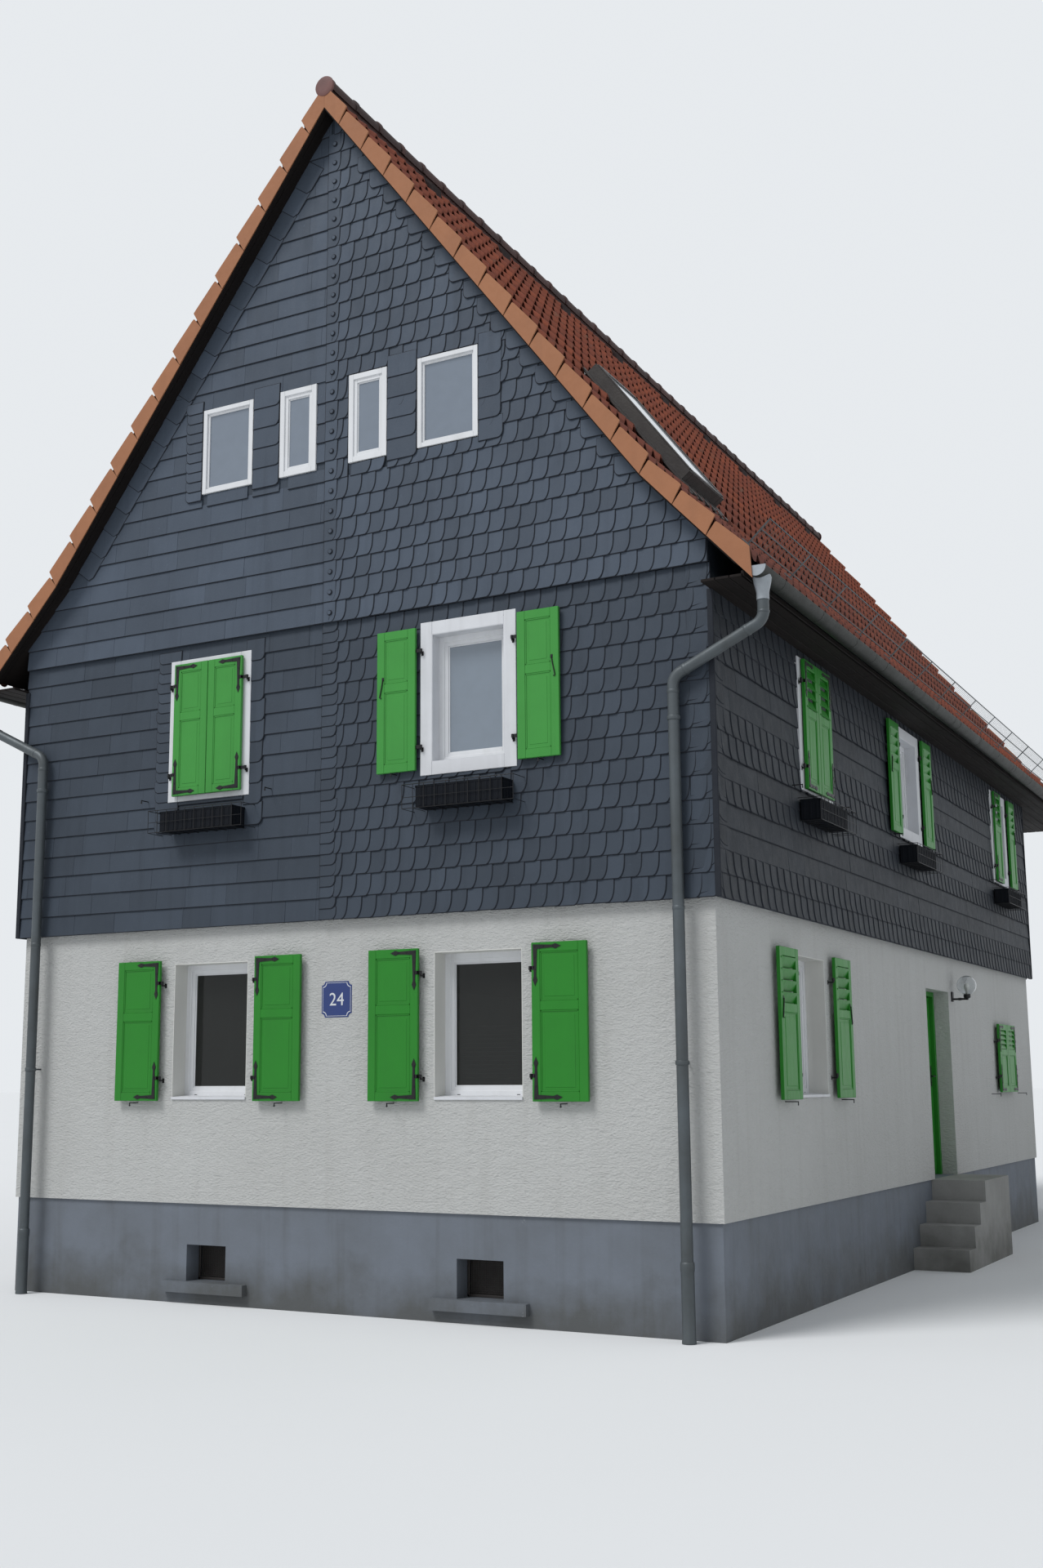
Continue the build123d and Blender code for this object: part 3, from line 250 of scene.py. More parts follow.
def noise(tree, place, scale, detail, roughness=0.5):
    return addNode(tree, "ShaderNodeTexNoise", {"Vector": place, "Scale": scale, "Detail": detail,
                                                "Roughness": roughness}).outputs["Fac"]


def spanned(tree, value, begin, end, low=0.0, high=1.0):
    return addNode(tree, "ShaderNodeMapRange", {"Value": value, "From Min": begin, "From Max": end,
                                                "To Min": low, "To Max": high}).outputs[0]


def reckon(tree, operation, *values, **settings):
    made = addNode(tree, "ShaderNodeMath", dict(enumerate(values)), operation=operation, **settings)
    return made.outputs[0]


def ramp(tree, factor, stops):
    made = addNode(tree, "ShaderNodeValToRGB", {"Fac": factor})
    for i, (place, tone) in enumerate(stops):
        stop = made.color_ramp.elements[i]
        stop.position = place
        stop.color = (tone, tone, tone, 1)
    return made.outputs["Color"]


def mixTone(tree, factor, first, second):
    made = addNode(tree, "ShaderNodeMix", {"Factor": factor}, data_type="RGBA")
    for socket, value in ((made.inputs[6], first), (made.inputs[7], second)):
        if isinstance(value, bpy.types.NodeSocket):
            tree.links.new(value, socket)
        else:
            socket.default_value = (*value, 1)
    return made.outputs[2]


def newGroup(name, inputs, output, kind):
    group = bpy.data.node_groups.new(name, "ShaderNodeTree")
    for label, inputKind, value in inputs:
        group.interface.new_socket(label, in_out="INPUT", socket_type=inputKind).default_value = value
    group.interface.new_socket(output, in_out="OUTPUT", socket_type=kind)
    return group, group.nodes.new("NodeGroupInput").outputs, group.nodes.new("NodeGroupOutput").inputs[output]


def makeWeathering():
    # soft patches, rain streaks down the wall, and dirt near the ground
    group, given, result = newGroup("weathering", [
        ("Color", "NodeSocketColor", (0.5, 0.5, 0.5, 1)), ("Dirt", "NodeSocketColor", (0.1, 0.1, 0.09, 1)),
        ("Patches", "NodeSocketFloat", 0.15), ("Streaks", "NodeSocketFloat", 0.1),
        ("Foot Dirt", "NodeSocketFloat", 0.0), ("Scale", "NodeSocketFloat", 1.0)], "Color", "NodeSocketColor")
    place = position(group)
    broad = noise(group, place, given["Scale"], 6.0, 0.62)
    patchy = reckon(group, "MULTIPLY", spanned(group, broad, 0.35, 0.7), given["Patches"])
    tall = addNode(group, "ShaderNodeMapping", {"Vector": place, "Scale": (6.0, 6.0, 0.35)}).outputs[0]
    runs = spanned(group, noise(group, tall, 1.6, 4.0), 0.52, 0.75)
    streaky = reckon(group, "MULTIPLY", runs, given["Streaks"])
    height = addNode(group, "ShaderNodeSeparateXYZ", {0: place}).outputs["Z"]
    wavy = reckon(group, "MULTIPLY_ADD", broad, -0.7, height)
    footy = reckon(group, "MULTIPLY", spanned(group, wavy, 0.1, -0.4), given["Foot Dirt"])
    total = reckon(group, "ADD", reckon(group, "ADD", patchy, streaky), footy, use_clamp=True)
    group.links.new(mixTone(group, total, given["Color"], given["Dirt"]), result)
    return group


def makeGrain():
    # fine relief with a slow swell under it
    group, given, result = newGroup("surfaceGrain", [
        ("Fine Scale", "NodeSocketFloat", 60.0), ("Broad Scale", "NodeSocketFloat", 4.0),
        ("Broad Share", "NodeSocketFloat", 0.4), ("Stretch", "NodeSocketVector", (1.0, 1.0, 1.0))],
        "Height", "NodeSocketFloat")
    drawn = addNode(group, "ShaderNodeVectorMath", {0: position(group), 1: given["Stretch"]},
                    operation="MULTIPLY").outputs[0]
    fine = noise(group, drawn, given["Fine Scale"], 5.0, 0.6)
    broad = noise(group, drawn, given["Broad Scale"], 3.0)
    blend = addNode(group, "ShaderNodeMix", {"Factor": given["Broad Share"], 2: fine, 3: broad},
                    data_type="FLOAT")
    group.links.new(blend.outputs[0], result)
    return group


def makePieceTone():
    # every slate, tile or board gets a tone of its own
    group, given, result = newGroup("pieceTone", [
        ("Color", "NodeSocketColor", (0.5, 0.5, 0.5, 1)), ("Other", "NodeSocketColor", (0.3, 0.3, 0.3, 1)),
        ("Spread", "NodeSocketFloat", 0.3)], "Color", "NodeSocketColor")
    chance = addNode(group, "ShaderNodeNewGeometry").outputs["Random Per Island"]
    share = reckon(group, "MULTIPLY", chance, given["Spread"])
    group.links.new(mixTone(group, share, given["Color"], given["Other"]), result)
    return group


weathering = makeWeathering()
surfaceGrain = makeGrain()
pieceTone = makePieceTone()


def newFinish(name, roughness, metallic=0.0, specular=0.5):
    material = bpy.data.materials.new(name)
    material.use_nodes = True
    tree = material.node_tree
    shader = tree.nodes["Principled BSDF"]
    shader.inputs["Roughness"].default_value = roughness
    shader.inputs["Metallic"].default_value = metallic
    shader.inputs["Specular IOR Level"].default_value = specular
    return material, tree, shader


def useGroup(tree, group, **inputs):
    made = addNode(tree, "ShaderNodeGroup", node_tree=group)
    for key, value in inputs.items():
        socket = made.inputs[key.replace("_", " ")]
        if isinstance(value, bpy.types.NodeSocket):
            tree.links.new(value, socket)
        else:
            socket.default_value = (*value, 1) if socket.type == "RGBA" else value
    return made.outputs[0]


def wornFinish(name, tone, dirt, roughness, patches=0.15, streaks=0.1, footDirt=0.0, scale=1.0, fine=60.0,
               broad=4.0, share=0.4, stretch=(1.0, 1.0, 1.0), distance=0.002, metallic=0.0, spread=0.0,
               other=None, specular=0.5):
    # the usual finish: its own tone per piece, weathering, relief, and roughness that swings with the relief
    material, tree, shader = newFinish(name, roughness, metallic, specular)
    base = useGroup(tree, pieceTone, Color=tone, Other=other or dirt, Spread=spread)
    worn = useGroup(tree, weathering, Color=base, Dirt=dirt, Patches=patches, Streaks=streaks,
                    Foot_Dirt=footDirt, Scale=scale)
    tree.links.new(worn, shader.inputs["Base Color"])
    grain = useGroup(tree, surfaceGrain, Fine_Scale=fine, Broad_Scale=broad, Broad_Share=share,
                     Stretch=stretch)
    gloss = spanned(tree, grain, 0.3, 0.7, roughness - 0.1, min(1.0, roughness + 0.1))
    tree.links.new(gloss, shader.inputs["Roughness"])
    bump = addNode(tree, "ShaderNodeBump", {"Height": grain, "Strength": 1.0, "Distance": distance})
    tree.links.new(bump.outputs[0], shader.inputs["Normal"])
    return material, tree, shader, worn


def plainFinish(*values, **options):
    return wornFinish(*values, **options)[0]


def makeSlateFinish(name, tone, other):
    material, tree, shader, worn = wornFinish(
        name, tone, tuple(0.5 * c for c in tone), 0.6, patches=0.35, streaks=0.3, scale=1.3, fine=90.0,
        broad=14.0, share=0.5, stretch=(1.0, 1.0, 0.6), distance=0.0025, spread=0.75, other=other,
        specular=0.22)
    # pale rubbed specks
    speck = ramp(tree, noise(tree, position(tree), 23.0, 9.0, 0.75), [(0.62, 0.0), (0.74, 0.45)])
    tree.links.new(mixTone(tree, speck, worn, tuple(1.9 * c for c in tone)), shader.inputs["Base Color"])
    return material


def makePlinthFinish():
    material, tree, shader, worn = wornFinish(
        "plinthFinish", (0.148, 0.168, 0.2), (0.085, 0.09, 0.092), 0.7, patches=0.35, streaks=0.25,
        footDirt=0.9, scale=1.7, fine=38.0, broad=5.0, share=0.55, distance=0.004, specular=0.35)
    chip = ramp(tree, noise(tree, position(tree), 5.5, 10.0, 0.8), [(0.64, 0.0), (0.70, 0.6)])
    tree.links.new(mixTone(tree, chip, worn, (0.3, 0.32, 0.34)), shader.inputs["Base Color"])
    return material


def makeTileFinish():
    # fired clay: each tile its own red, darker with lichen towards the eaves and the street verge
    material, tree, shader, worn = wornFinish(
        "clayTileFinish", (0.25, 0.072, 0.04), (0.07, 0.031, 0.025), 0.85, patches=0.5, streaks=0.0,
        scale=1.1, fine=120.0, broad=18.0, specular=0.12)
    place = position(tree)
    parts = addNode(tree, "ShaderNodeSeparateXYZ", {0: place}).outputs
    cell = addNode(tree, "ShaderNodeCombineXYZ", {0: reckon(tree, "SNAP", parts["Y"], 0.168),
                                                  1: reckon(tree, "SNAP", parts["Z"], 0.285)})
    chance = addNode(tree, "ShaderNodeTexWhiteNoise", {"Vector": cell.outputs[0]}, noise_dimensions="3D")
    swing = spanned(tree, chance.outputs["Value"], 0.0, 1.0, 0.0, 0.55)
    tone = mixTone(tree, swing, worn, (0.15, 0.05, 0.038))
    aged = reckon(tree, "MULTIPLY", spanned(tree, parts["Z"], 8.2, 5.6, 0.0, 0.7),
                  spanned(tree, parts["Y"], 2.0, -7.2, 0.1, 1.0))
    tone = mixTone(tree, aged, tone, (0.09, 0.046, 0.042))
    mossy = ramp(tree, noise(tree, place, 7.0, 8.0, 0.7), [(0.58, 0.0), (0.68, 0.5)])
    tree.links.new(mixTone(tree, mossy, tone, (0.12, 0.095, 0.07)), shader.inputs["Base Color"])
    return material


def makeGlass(name, tint, transmission, roughness=0.03, index=1.45):
    material, tree, shader = newFinish(name, roughness)
    dust = noise(tree, position(tree), 9.0, 6.0)
    film = spanned(tree, dust, 0.4, 0.8, roughness, roughness + 0.06)
    tree.links.new(film, shader.inputs["Roughness"])
    tree.links.new(mixTone(tree, dust, tint, tuple(0.86 * c for c in tint)), shader.inputs["Base Color"])
    shader.inputs["Transmission Weight"].default_value = transmission
    shader.inputs["IOR"].default_value = index
    return material


slateFinish = makeSlateFinish("slateFinish", (0.052, 0.067, 0.09), (0.035, 0.045, 0.06))
# painted light: a lighter copy of the slate finish for the gables, standing in for the brighter light that
# falls on them
litGableSlateFinish = makeSlateFinish("litGableSlateFinish", (0.075, 0.096, 0.13), (0.052, 0.066, 0.088))
# painted shade: a darker copy of the slate finish for the right side wall, standing in for the shadow of the
# eaves
shadedSideSlateFinish = makeSlateFinish("shadedSideSlateFinish", (0.024, 0.0295, 0.038), (0.016, 0.0195, 0.025))
# dark rim and sides of each slate: partly the slates' own dark dressed edges, partly painted shadow under
# each slate's edge; also used for the corner beads
edgeAndShadowFinish = plainFinish("slateEdgeAndShadowFinish", (0.016, 0.019, 0.026), (0.03, 0.034, 0.04), 0.75, patches=0.3,
                         streaks=0.0, scale=9.0, fine=160.0, broad=30.0, distance=0.001, specular=0.2)
# trowelled rough-cast: short level ridges over coarse sand
renderFinish = plainFinish("renderFinish", (0.53, 0.535, 0.525), (0.3, 0.29, 0.265), 0.9, patches=0.16,
                           streaks=0.12, scale=0.7, broad=21.0, stretch=(0.6, 0.6, 1.2), distance=0.03,
                           specular=0.25)
plasterFinish = plainFinish("plasterFinish", (0.66, 0.66, 0.63), (0.4, 0.4, 0.37), 0.75, patches=0.12,
                            scale=3.0, fine=120.0, broad=12.0, distance=0.0008, specular=0.3)
plinthFinish = makePlinthFinish()
tileFinish = makeTileFinish()
zincFinish = plainFinish("zincFinish", (0.085, 0.1, 0.11), (0.05, 0.055, 0.055), 0.5, patches=0.6,
                         streaks=0.35, scale=3.0, fine=70.0, broad=9.0, share=0.6, distance=0.0012,
                         metallic=0.35)
gutterFinish = plainFinish("gutterFinish", (0.024, 0.026, 0.023), (0.012, 0.013, 0.01), 0.55, patches=0.6,
                           scale=2.0, fine=70.0, broad=9.0, distance=0.001, metallic=0.3, specular=0.3)
capFinish = plainFinish("paleZincFinish", (0.34, 0.37, 0.4), (0.2, 0.22, 0.24), 0.45, patches=0.5,
                        streaks=0.2, scale=8.0, distance=0.0006, metallic=0.35)
vergeFinish = plainFinish("vergeClayFinish", (0.36, 0.155, 0.075), (0.2, 0.09, 0.05), 0.7, patches=0.3,
                          streaks=0.15, scale=2.5, fine=130.0, broad=20.0, distance=0.0015, spread=0.35,
                          other=(0.29, 0.12, 0.06), specular=0.3)
ridgeFinish = plainFinish("ridgeClayFinish", (0.09, 0.045, 0.04), (0.035, 0.028, 0.026), 0.7, patches=0.5,
                          streaks=0.0, scale=2.5, fine=110.0, broad=16.0, spread=0.8,
                          other=(0.04, 0.028, 0.028), specular=0.3)
discFinish = plainFinish("endDiscFinish", (0.15, 0.062, 0.055), (0.06, 0.032, 0.03), 0.7, patches=0.5,
                         scale=6.0, fine=130.0, distance=0.0015)
ventFinish = plainFinish("ventClayFinish", (0.03, 0.02, 0.02), (0.02, 0.016, 0.015), 0.8, patches=0.4,
                         scale=3.0, fine=110.0, distance=0.001, specular=0.15)
boardFinish = plainFinish("darkBoardFinish", (0.015, 0.0115, 0.0105), (0.006, 0.005, 0.005), 0.75,
                          patches=0.4, streaks=0.0, scale=2.0, fine=45.0, broad=6.0,
                          stretch=(1.0, 0.06, 1.0), spread=0.5, specular=0.15)
greenFinish = plainFinish("greenPaintFinish", (0.017, 0.205, 0.016), (0.014, 0.12, 0.015), 0.4, patches=0.2,
                          streaks=0.12, scale=3.5, fine=95.0, broad=14.0, share=0.35,
                          stretch=(1.0, 1.0, 0.12), distance=0.0007, spread=0.25,
                          other=(0.024, 0.18, 0.02), specular=0.3)
upperGreenFinish = plainFinish("upperGreenFinish", (0.048, 0.275, 0.047), (0.03, 0.17, 0.03), 0.45,
                               patches=0.2, streaks=0.16, scale=3.5, fine=95.0, broad=14.0, share=0.35,
                               stretch=(1.0, 1.0, 0.12), distance=0.0007, spread=0.25,
                               other=(0.042, 0.24, 0.04), specular=0.3)
ironFinish = plainFinish("blackIronFinish", (0.012, 0.013, 0.015), (0.05, 0.035, 0.028), 0.45, patches=0.18,
                         streaks=0.0, scale=20.0, fine=220.0, broad=40.0, distance=0.0006, metallic=0.5)
plasticFinish = plainFinish("blackPlasticFinish", (0.004, 0.0055, 0.009), (0.012, 0.013, 0.015), 0.65,
                            patches=0.3, streaks=0.3, scale=6.0, fine=180.0, broad=20.0, distance=0.0005,
                            specular=0.12)
frameFinish = plainFinish("whiteFrameFinish", (0.72, 0.73, 0.75), (0.36, 0.36, 0.34), 0.35, patches=0.1,
                          streaks=0.16, scale=5.0, fine=120.0, broad=10.0, distance=0.0003)
surroundFinish = plainFinish("whiteBoardFinish", (0.66, 0.67, 0.7), (0.33, 0.33, 0.33), 0.5, patches=0.14,
                             streaks=0.22, scale=4.0, fine=80.0, broad=12.0, stretch=(1.0, 1.0, 0.15),
                             distance=0.0008, spread=0.15, other=(0.6, 0.61, 0.63))
floorFinish = plainFinish("floorBoardFinish", (0.3, 0.2, 0.12), (0.16, 0.1, 0.06), 0.6, patches=0.35,
                          streaks=0.0, scale=2.0, fine=40.0, broad=5.0, stretch=(1.0, 0.08, 1.0),
                          distance=0.0015)
stepFinish = plainFinish("stepFinish", (0.3, 0.3, 0.29), (0.13, 0.13, 0.12), 0.85, patches=0.4,
                         footDirt=0.6, scale=2.2, fine=90.0, broad=9.0, distance=0.003, specular=0.3)
enamelFinish = plainFinish("blueEnamelFinish", (0.008, 0.03, 0.16), (0.02, 0.03, 0.08), 0.16, scale=14.0,
                           broad=16.0, distance=0.0004, specular=0.6)
lineFinish = plainFinish("whiteEnamelFinish", (0.62, 0.64, 0.66), (0.4, 0.4, 0.42), 0.2, patches=0.12,
                         scale=20.0, broad=16.0, distance=0.0003)
leadFinish = plainFinish("flashingFinish", (0.024, 0.02, 0.019), (0.07, 0.066, 0.06), 0.5, patches=0.4,
                         scale=5.0, broad=8.0, metallic=0.3)
bulbFinish = plainFinish("bulbFinish", (0.72, 0.72, 0.68), (0.5, 0.5, 0.46), 0.4, patches=0.1, scale=20.0)
# painted shade: the ground-floor panes are tinted dark grey for the dark rooms behind them
shadedPaneGlass = makeGlass("windowPaneShadeGlass", (0.16, 0.17, 0.16), 0.9, 0.03, 1.32)
# partly painted reflection: the upper panes let only about a third of the light through, and the rest is a
# blue-grey colour standing in for reflected sky
upperPaneSkyReflectionGlass = makeGlass("upperPaneSkyReflectionGlass", (0.3, 0.36, 0.43), 0.35, 0.03, 1.7)
# painted reflection: the gable panes let no light through and are blue-grey for the sky they reflect
gableSkyReflectionGlass = makeGlass("gablePaneReflectionGlass", (0.2, 0.235, 0.285), 0.0, 0.08)
# painted reflection: the roof window pane lets no light through and is pale grey-blue for the white sky it
# reflects
roofReflectionGlass = makeGlass("roofWindowReflectionGlass", (0.62, 0.68, 0.74), 0.0, 0.04)
globeGlass = makeGlass("lampGlobeGlass", (0.9, 0.92, 0.93), 1.0, 0.02)
print("finishes made")


# Slates
slates = {"course": 0.1821, "thickness": 0.009, "lift": 0.013, "sideLift": 0.011, "dressedEdgeAndShadow": 0.0065,
          "scale": 0.142, "sideScale": 0.168, "long": (0.3, 0.52), "curveWide": 0.056, "curveTall": 0.12,
          "lap": 0.03, "tuck": 0.02, "proud": 0.001, "least": 0.0006, "lean": 0.0012,
          "swing": (-0.0008, 0.0012)}
stack = {"wander": 0.012, "curveWide": 0.05, "curveTall": 0.06, "lift": 0.008}
strip = {"left": -0.06, "right": 0.075, "top": 10.1, "out": 0.014, "stud": 0.024, "studX": 0.015,
         "studUp": 0.085, "studOut": 0.028, "studThick": 0.014}
border = {"gauge": 0.24, "wide": 0.2, "cut": 0.05, "lap": 0.03, "out": 0.012, "roundOut": 0.02}


def clipOutline(outline, a, b, c):
    # keeps the part of an outline where a*x + b*z <= c
    kept = []
    for i, point in enumerate(outline):
        following = outline[(i + 1) % len(outline)]
        here = a * point[0] + b * point[1] - c
        there = a * following[0] + b * following[1] - c
        if here <= 0:
            kept.append(point)
        if here * there < 0:
            share = here / (here - there)
            kept.append(tuple(p + share * (q - p) for p, q in zip(point, following)))
    return kept


def outlineArea(outline):
    return 0.5 * sum(a[0] * b[1] - b[0] * a[1] for a, b in zip(outline, outline[1:] + outline[:1]))


def insetOutline(outline, amount):
    # every edge of a convex outline moved inwards
    inner = []
    for i, point in enumerate(outline):
        before, after = outline[i - 1], outline[(i + 1) % len(outline)]
        first = Vector((point[0] - before[0], point[1] - before[1])).normalized()
        second = Vector((after[0] - point[0], after[1] - point[1])).normalized()
        inward = Vector((-first.y - second.y, first.x + second.x))
        inward = inward * (amount / max(0.5, inward.length_squared / 2))
        inner.append((point[0] + inward.x, point[1] + inward.y))
    return inner


def cutHoles(outline, holes):
    # takes a slate off a window by the one straight cut that leaves most of it
    for left, right, foot, top in holes:
        xs, zs = [p[0] for p in outline], [p[1] for p in outline]
        if not outline or max(xs) <= left or min(xs) >= right or max(zs) <= foot or min(zs) >= top:
            continue
        cuts = ((1, 0, left), (-1, 0, -right), (0, 1, foot), (0, -1, -top))
        outline = max((clipOutline(outline, *cut) for cut in cuts), key=outlineArea)
    return outline


def addSlate(shape, outline, low, high, out, lift, sideLift=0, holes=(), limits=(),
             thickness=slates["thickness"], faint=False):
    # low and high are the slate's own corners, which set how it leans
    outline = cutHoles(outline, holes)
    for limit in limits:
        outline = clipOutline(outline, *limit)
    if len(outline) < 3 or outlineArea(outline) < slates["least"]:
        return
    wide, tall = high[0] - low[0], high[1] - low[1]
    lean, swing = random.uniform(-slates["lean"], slates["lean"]), random.uniform(*slates["swing"])

    def depth(point):
        up, across = (point[1] - low[1]) / tall, (point[0] - low[0]) / wide
        return out + lift * (1 - up) + sideLift * across + lean * (across - 0.5) + swing * (1 - up)

    outline = [p for i, p in enumerate(outline) if math.dist(p, outline[i - 1]) > 1e-5]
    inner = insetOutline(outline, slates["dressedEdgeAndShadow"])
    if faint:      # only the foot of a long slate is dressed, and its dark rim is partly painted shadow
        inner = [(x, max(z, low[1] + slates["dressedEdgeAndShadow"])) for x, z in outline]
    count = len(outline)
    points = [(*p, depth(p)) for p in inner]
    points += [(*p, depth(p) - drop * thickness) for drop in (0.4, 1) for p in outline]
    shape.add(points[:count], [list(range(count))])
    for i in range(count):
        after = (i + 1) % count
        # rim faces take the second, dark finish: the dressed edge together with painted shadow under the
        # slate
        dark = not faint or max(outline[i][1], outline[after][1]) < low[1] + 0.3 * tall
        shape.add([points[ring + k] for ring in (0, count, 2 * count) for k in (i, after)],
                  [[0, 2, 3, 1], [2, 4, 5, 3]], int(dark))


def scaleOutline(left, right, foot, top, flipped=False, wide=slates["curveWide"], tall=slates["curveTall"]):
    # straight on one side, swept in at the other's foot
    steps = [math.radians(angle) for angle in (8, 28, 48, 68, 90)]
    swept = [(right - wide + wide * math.sin(a), foot + tall - tall * math.cos(a)) for a in steps]
    outline = [(left, foot), (right - wide, foot)] + swept + [(right, top), (left, top)]
    if flipped:
        outline = [(left + right - x, z) for x, z in outline][::-1]
    return outline


def slateCourse(shape, foot, left, right, out, kind, holes, limits, flipped=False, width=slates["scale"]):
    top = foot + slates["course"] + slates["lap"]
    foot += random.uniform(-0.0025, 0.0025)
    if kind == "curved":
        place = left - random.uniform(0, width)
        tuck = slates["curveWide"] + slates["tuck"]
        side = -1 if flipped else 1
        while place < right:
            low, high = place - (0 if flipped else tuck), place + width + (tuck if flipped else 0)
            drop = random.uniform(-0.003, 0.003)
            addSlate(shape, scaleOutline(low, high, foot + drop, top, flipped), (low, foot), (high, top),
                     out + (slates["sideLift"] if flipped else 0), slates["lift"], side * slates["sideLift"],
                     holes, [(-1, 0, -left), (1, 0, right)] + list(limits))
            place += width
    else:
        place = left - random.uniform(0, 0.3)
        while place < right:
            width = random.uniform(*slates["long"])
            low, high = max(place + 0.001, left), min(place + width - 0.001, right)
            if high > low:
                outline = [(low, foot), (high, foot), (high, top), (low, top)]
                addSlate(shape, outline, (low, foot), (high, top), out + random.uniform(0, 0.0012),
                         slates["lift"], 0, holes, limits, faint=True)
            place += width


def courses(foot, top, spacing=slates["course"]):
    rows = max(1, round((top - foot) / spacing))
    return [foot + row * (top - foot) / rows for row in range(rows)]


def slateStack(shape, left, right, foot, top, spacing, out, rounded, holes=(), limits=()):
    # a column of short slates laid over the field, with their lower corners rounded on the sides named
    lows = courses(foot, top, spacing)
    turns = [math.radians(angle) for angle in (0, 25, 50, 75, 90)]
    for low in lows:
        high = low + (top - foot) / len(lows) + slates["tuck"]
        reach = random.uniform(-stack["wander"], stack["wander"])
        begin = left + (reach if "left" in rounded else 0)
        end = right + (reach if "right" in rounded else 0)
        wide = min(stack["curveWide"], (end - begin) / 2.2)
        tall = min(stack["curveTall"], 0.75 * spacing)
        outline = [(begin, high), (begin, low)]
        if "left" in rounded:
            outline[1:] = [(begin + wide - wide * math.cos(a), low + tall - tall * math.sin(a))
                           for a in turns]
        if "right" in rounded:
            outline += [(end - wide + wide * math.sin(a), low + tall - tall * math.cos(a)) for a in turns]
        else:
            outline.append((end, low))
        addSlate(shape, outline + [(end, high)], (begin, low), (end, high), out, stack["lift"], 0,
                 holes, limits)


def slateField(shape, left, right, foot, top, out, kinds, holes=(), flipped=False, width=slates["scale"]):
    for row, base in enumerate(courses(foot, top)):
        slateCourse(shape, base, left, right, out, kinds[row % len(kinds)], holes, [(0, 1, top)],
                    flipped, width)


def cornerSlates(shape, edge, reaches, foot, top, out, wide, tall):
    # two slates to a course that sweep up to the wall's corner
    for base in courses(foot, top):
        for step, reach in zip((0, 0.03), reaches):
            left, right = sorted((edge, edge + reach))
            outline = scaleOutline(left, right, base + step, base + step + slates["course"] + slates["tuck"],
                                   reach > 0, wide, tall)
            addSlate(shape, outline, (left, base + step), (right, base + 0.22), out + 0.006 + step * 0.12,
                     stack["lift"], limits=[(0, 1, top)])


# Windows: wall, middle along it, sill, width, height, depth of the frame's face, style
windows = [(wall, middle, 1.71, 0.79, height, -0.17, "ground") for wall, middle, height in (
    ("front", -1.24, 1.145), ("front", 1.395, 1.145), ("right", 2.2, 1.145), ("right", 9.85, 0.76),
    ("rear", -1.095, 1.145), ("rear", 1.54, 1.145))]
windows += [(wall, middle, sill, 0.67, height, -0.04, "upper") for wall, middle, sill, height in (
    ("front", -1.267, 4.4, 1.07), ("front", 1.353, 4.4, 1.07), ("right", 2.38, 4.37, 0.95),
    ("right", 5.57, 4.37, 0.95), ("right", 10.02, 4.37, 0.95), ("rear", -1.053, 4.4, 1.07),
    ("rear", 1.567, 4.4, 1.07))]
windows += [(wall, middle, 7.11, width, 0.805, 0.097, "gable") for wall in ("front", "rear")
            for middle, width in ((-1.12, 0.56), (-0.348, 0.39), (0.382, 0.39), (1.177, 0.587))]


def windowHoles(wall, style, spare):
    return [(m - w / 2 - spare, m + w / 2 + spare, s - spare, s + h + spare)
            for where, m, s, w, h, _, kind in windows if where == wall and kind == style]


def roofCuts(pitch, peak):
    # the roof's underside as straight cuts: (a, b, c) keeps a*x + b*z <= c
    return [(side * math.tan(pitch), 1, peak) for side in (-1, 1)]


def hangFrontSlates():
    # upper storey: long slates to the left of the middle, swept ones to the right
    shape = Shape(wallPlace("front"))
    holes = windowHoles("front", "upper", 0.05)
    foot, top = house["slateFoot"] - 0.012, house["gableFoot"] - 0.004
    out = house["slateOut"] + slates["proud"]
    slateField(shape, -slateSides - 0.01, -0.06, foot, top, out, ["plain"], holes)
    slateField(shape, 0.06, slateSides + 0.008, foot, top, out, ["curved"], holes)
    slateStack(shape, -0.075, 0.085, foot, top, 0.091, out + 0.016, ["right"])
    slateStack(shape, -1.87, -1.6, 4.02, 5.66, 0.091, out + 0.014, ["left"], holes)
    slateStack(shape, -0.93, -0.68, 4.02, 5.66, 0.182, out + 0.014, ["right"], holes)
    cornerSlates(shape, slateSides + 0.008, (-0.278, -0.208), foot, top, out, 0.16, 0.075)
    shape.piece("frontSlates", slateFinish, slot="slate", second=edgeAndShadowFinish, weld=1e-5)


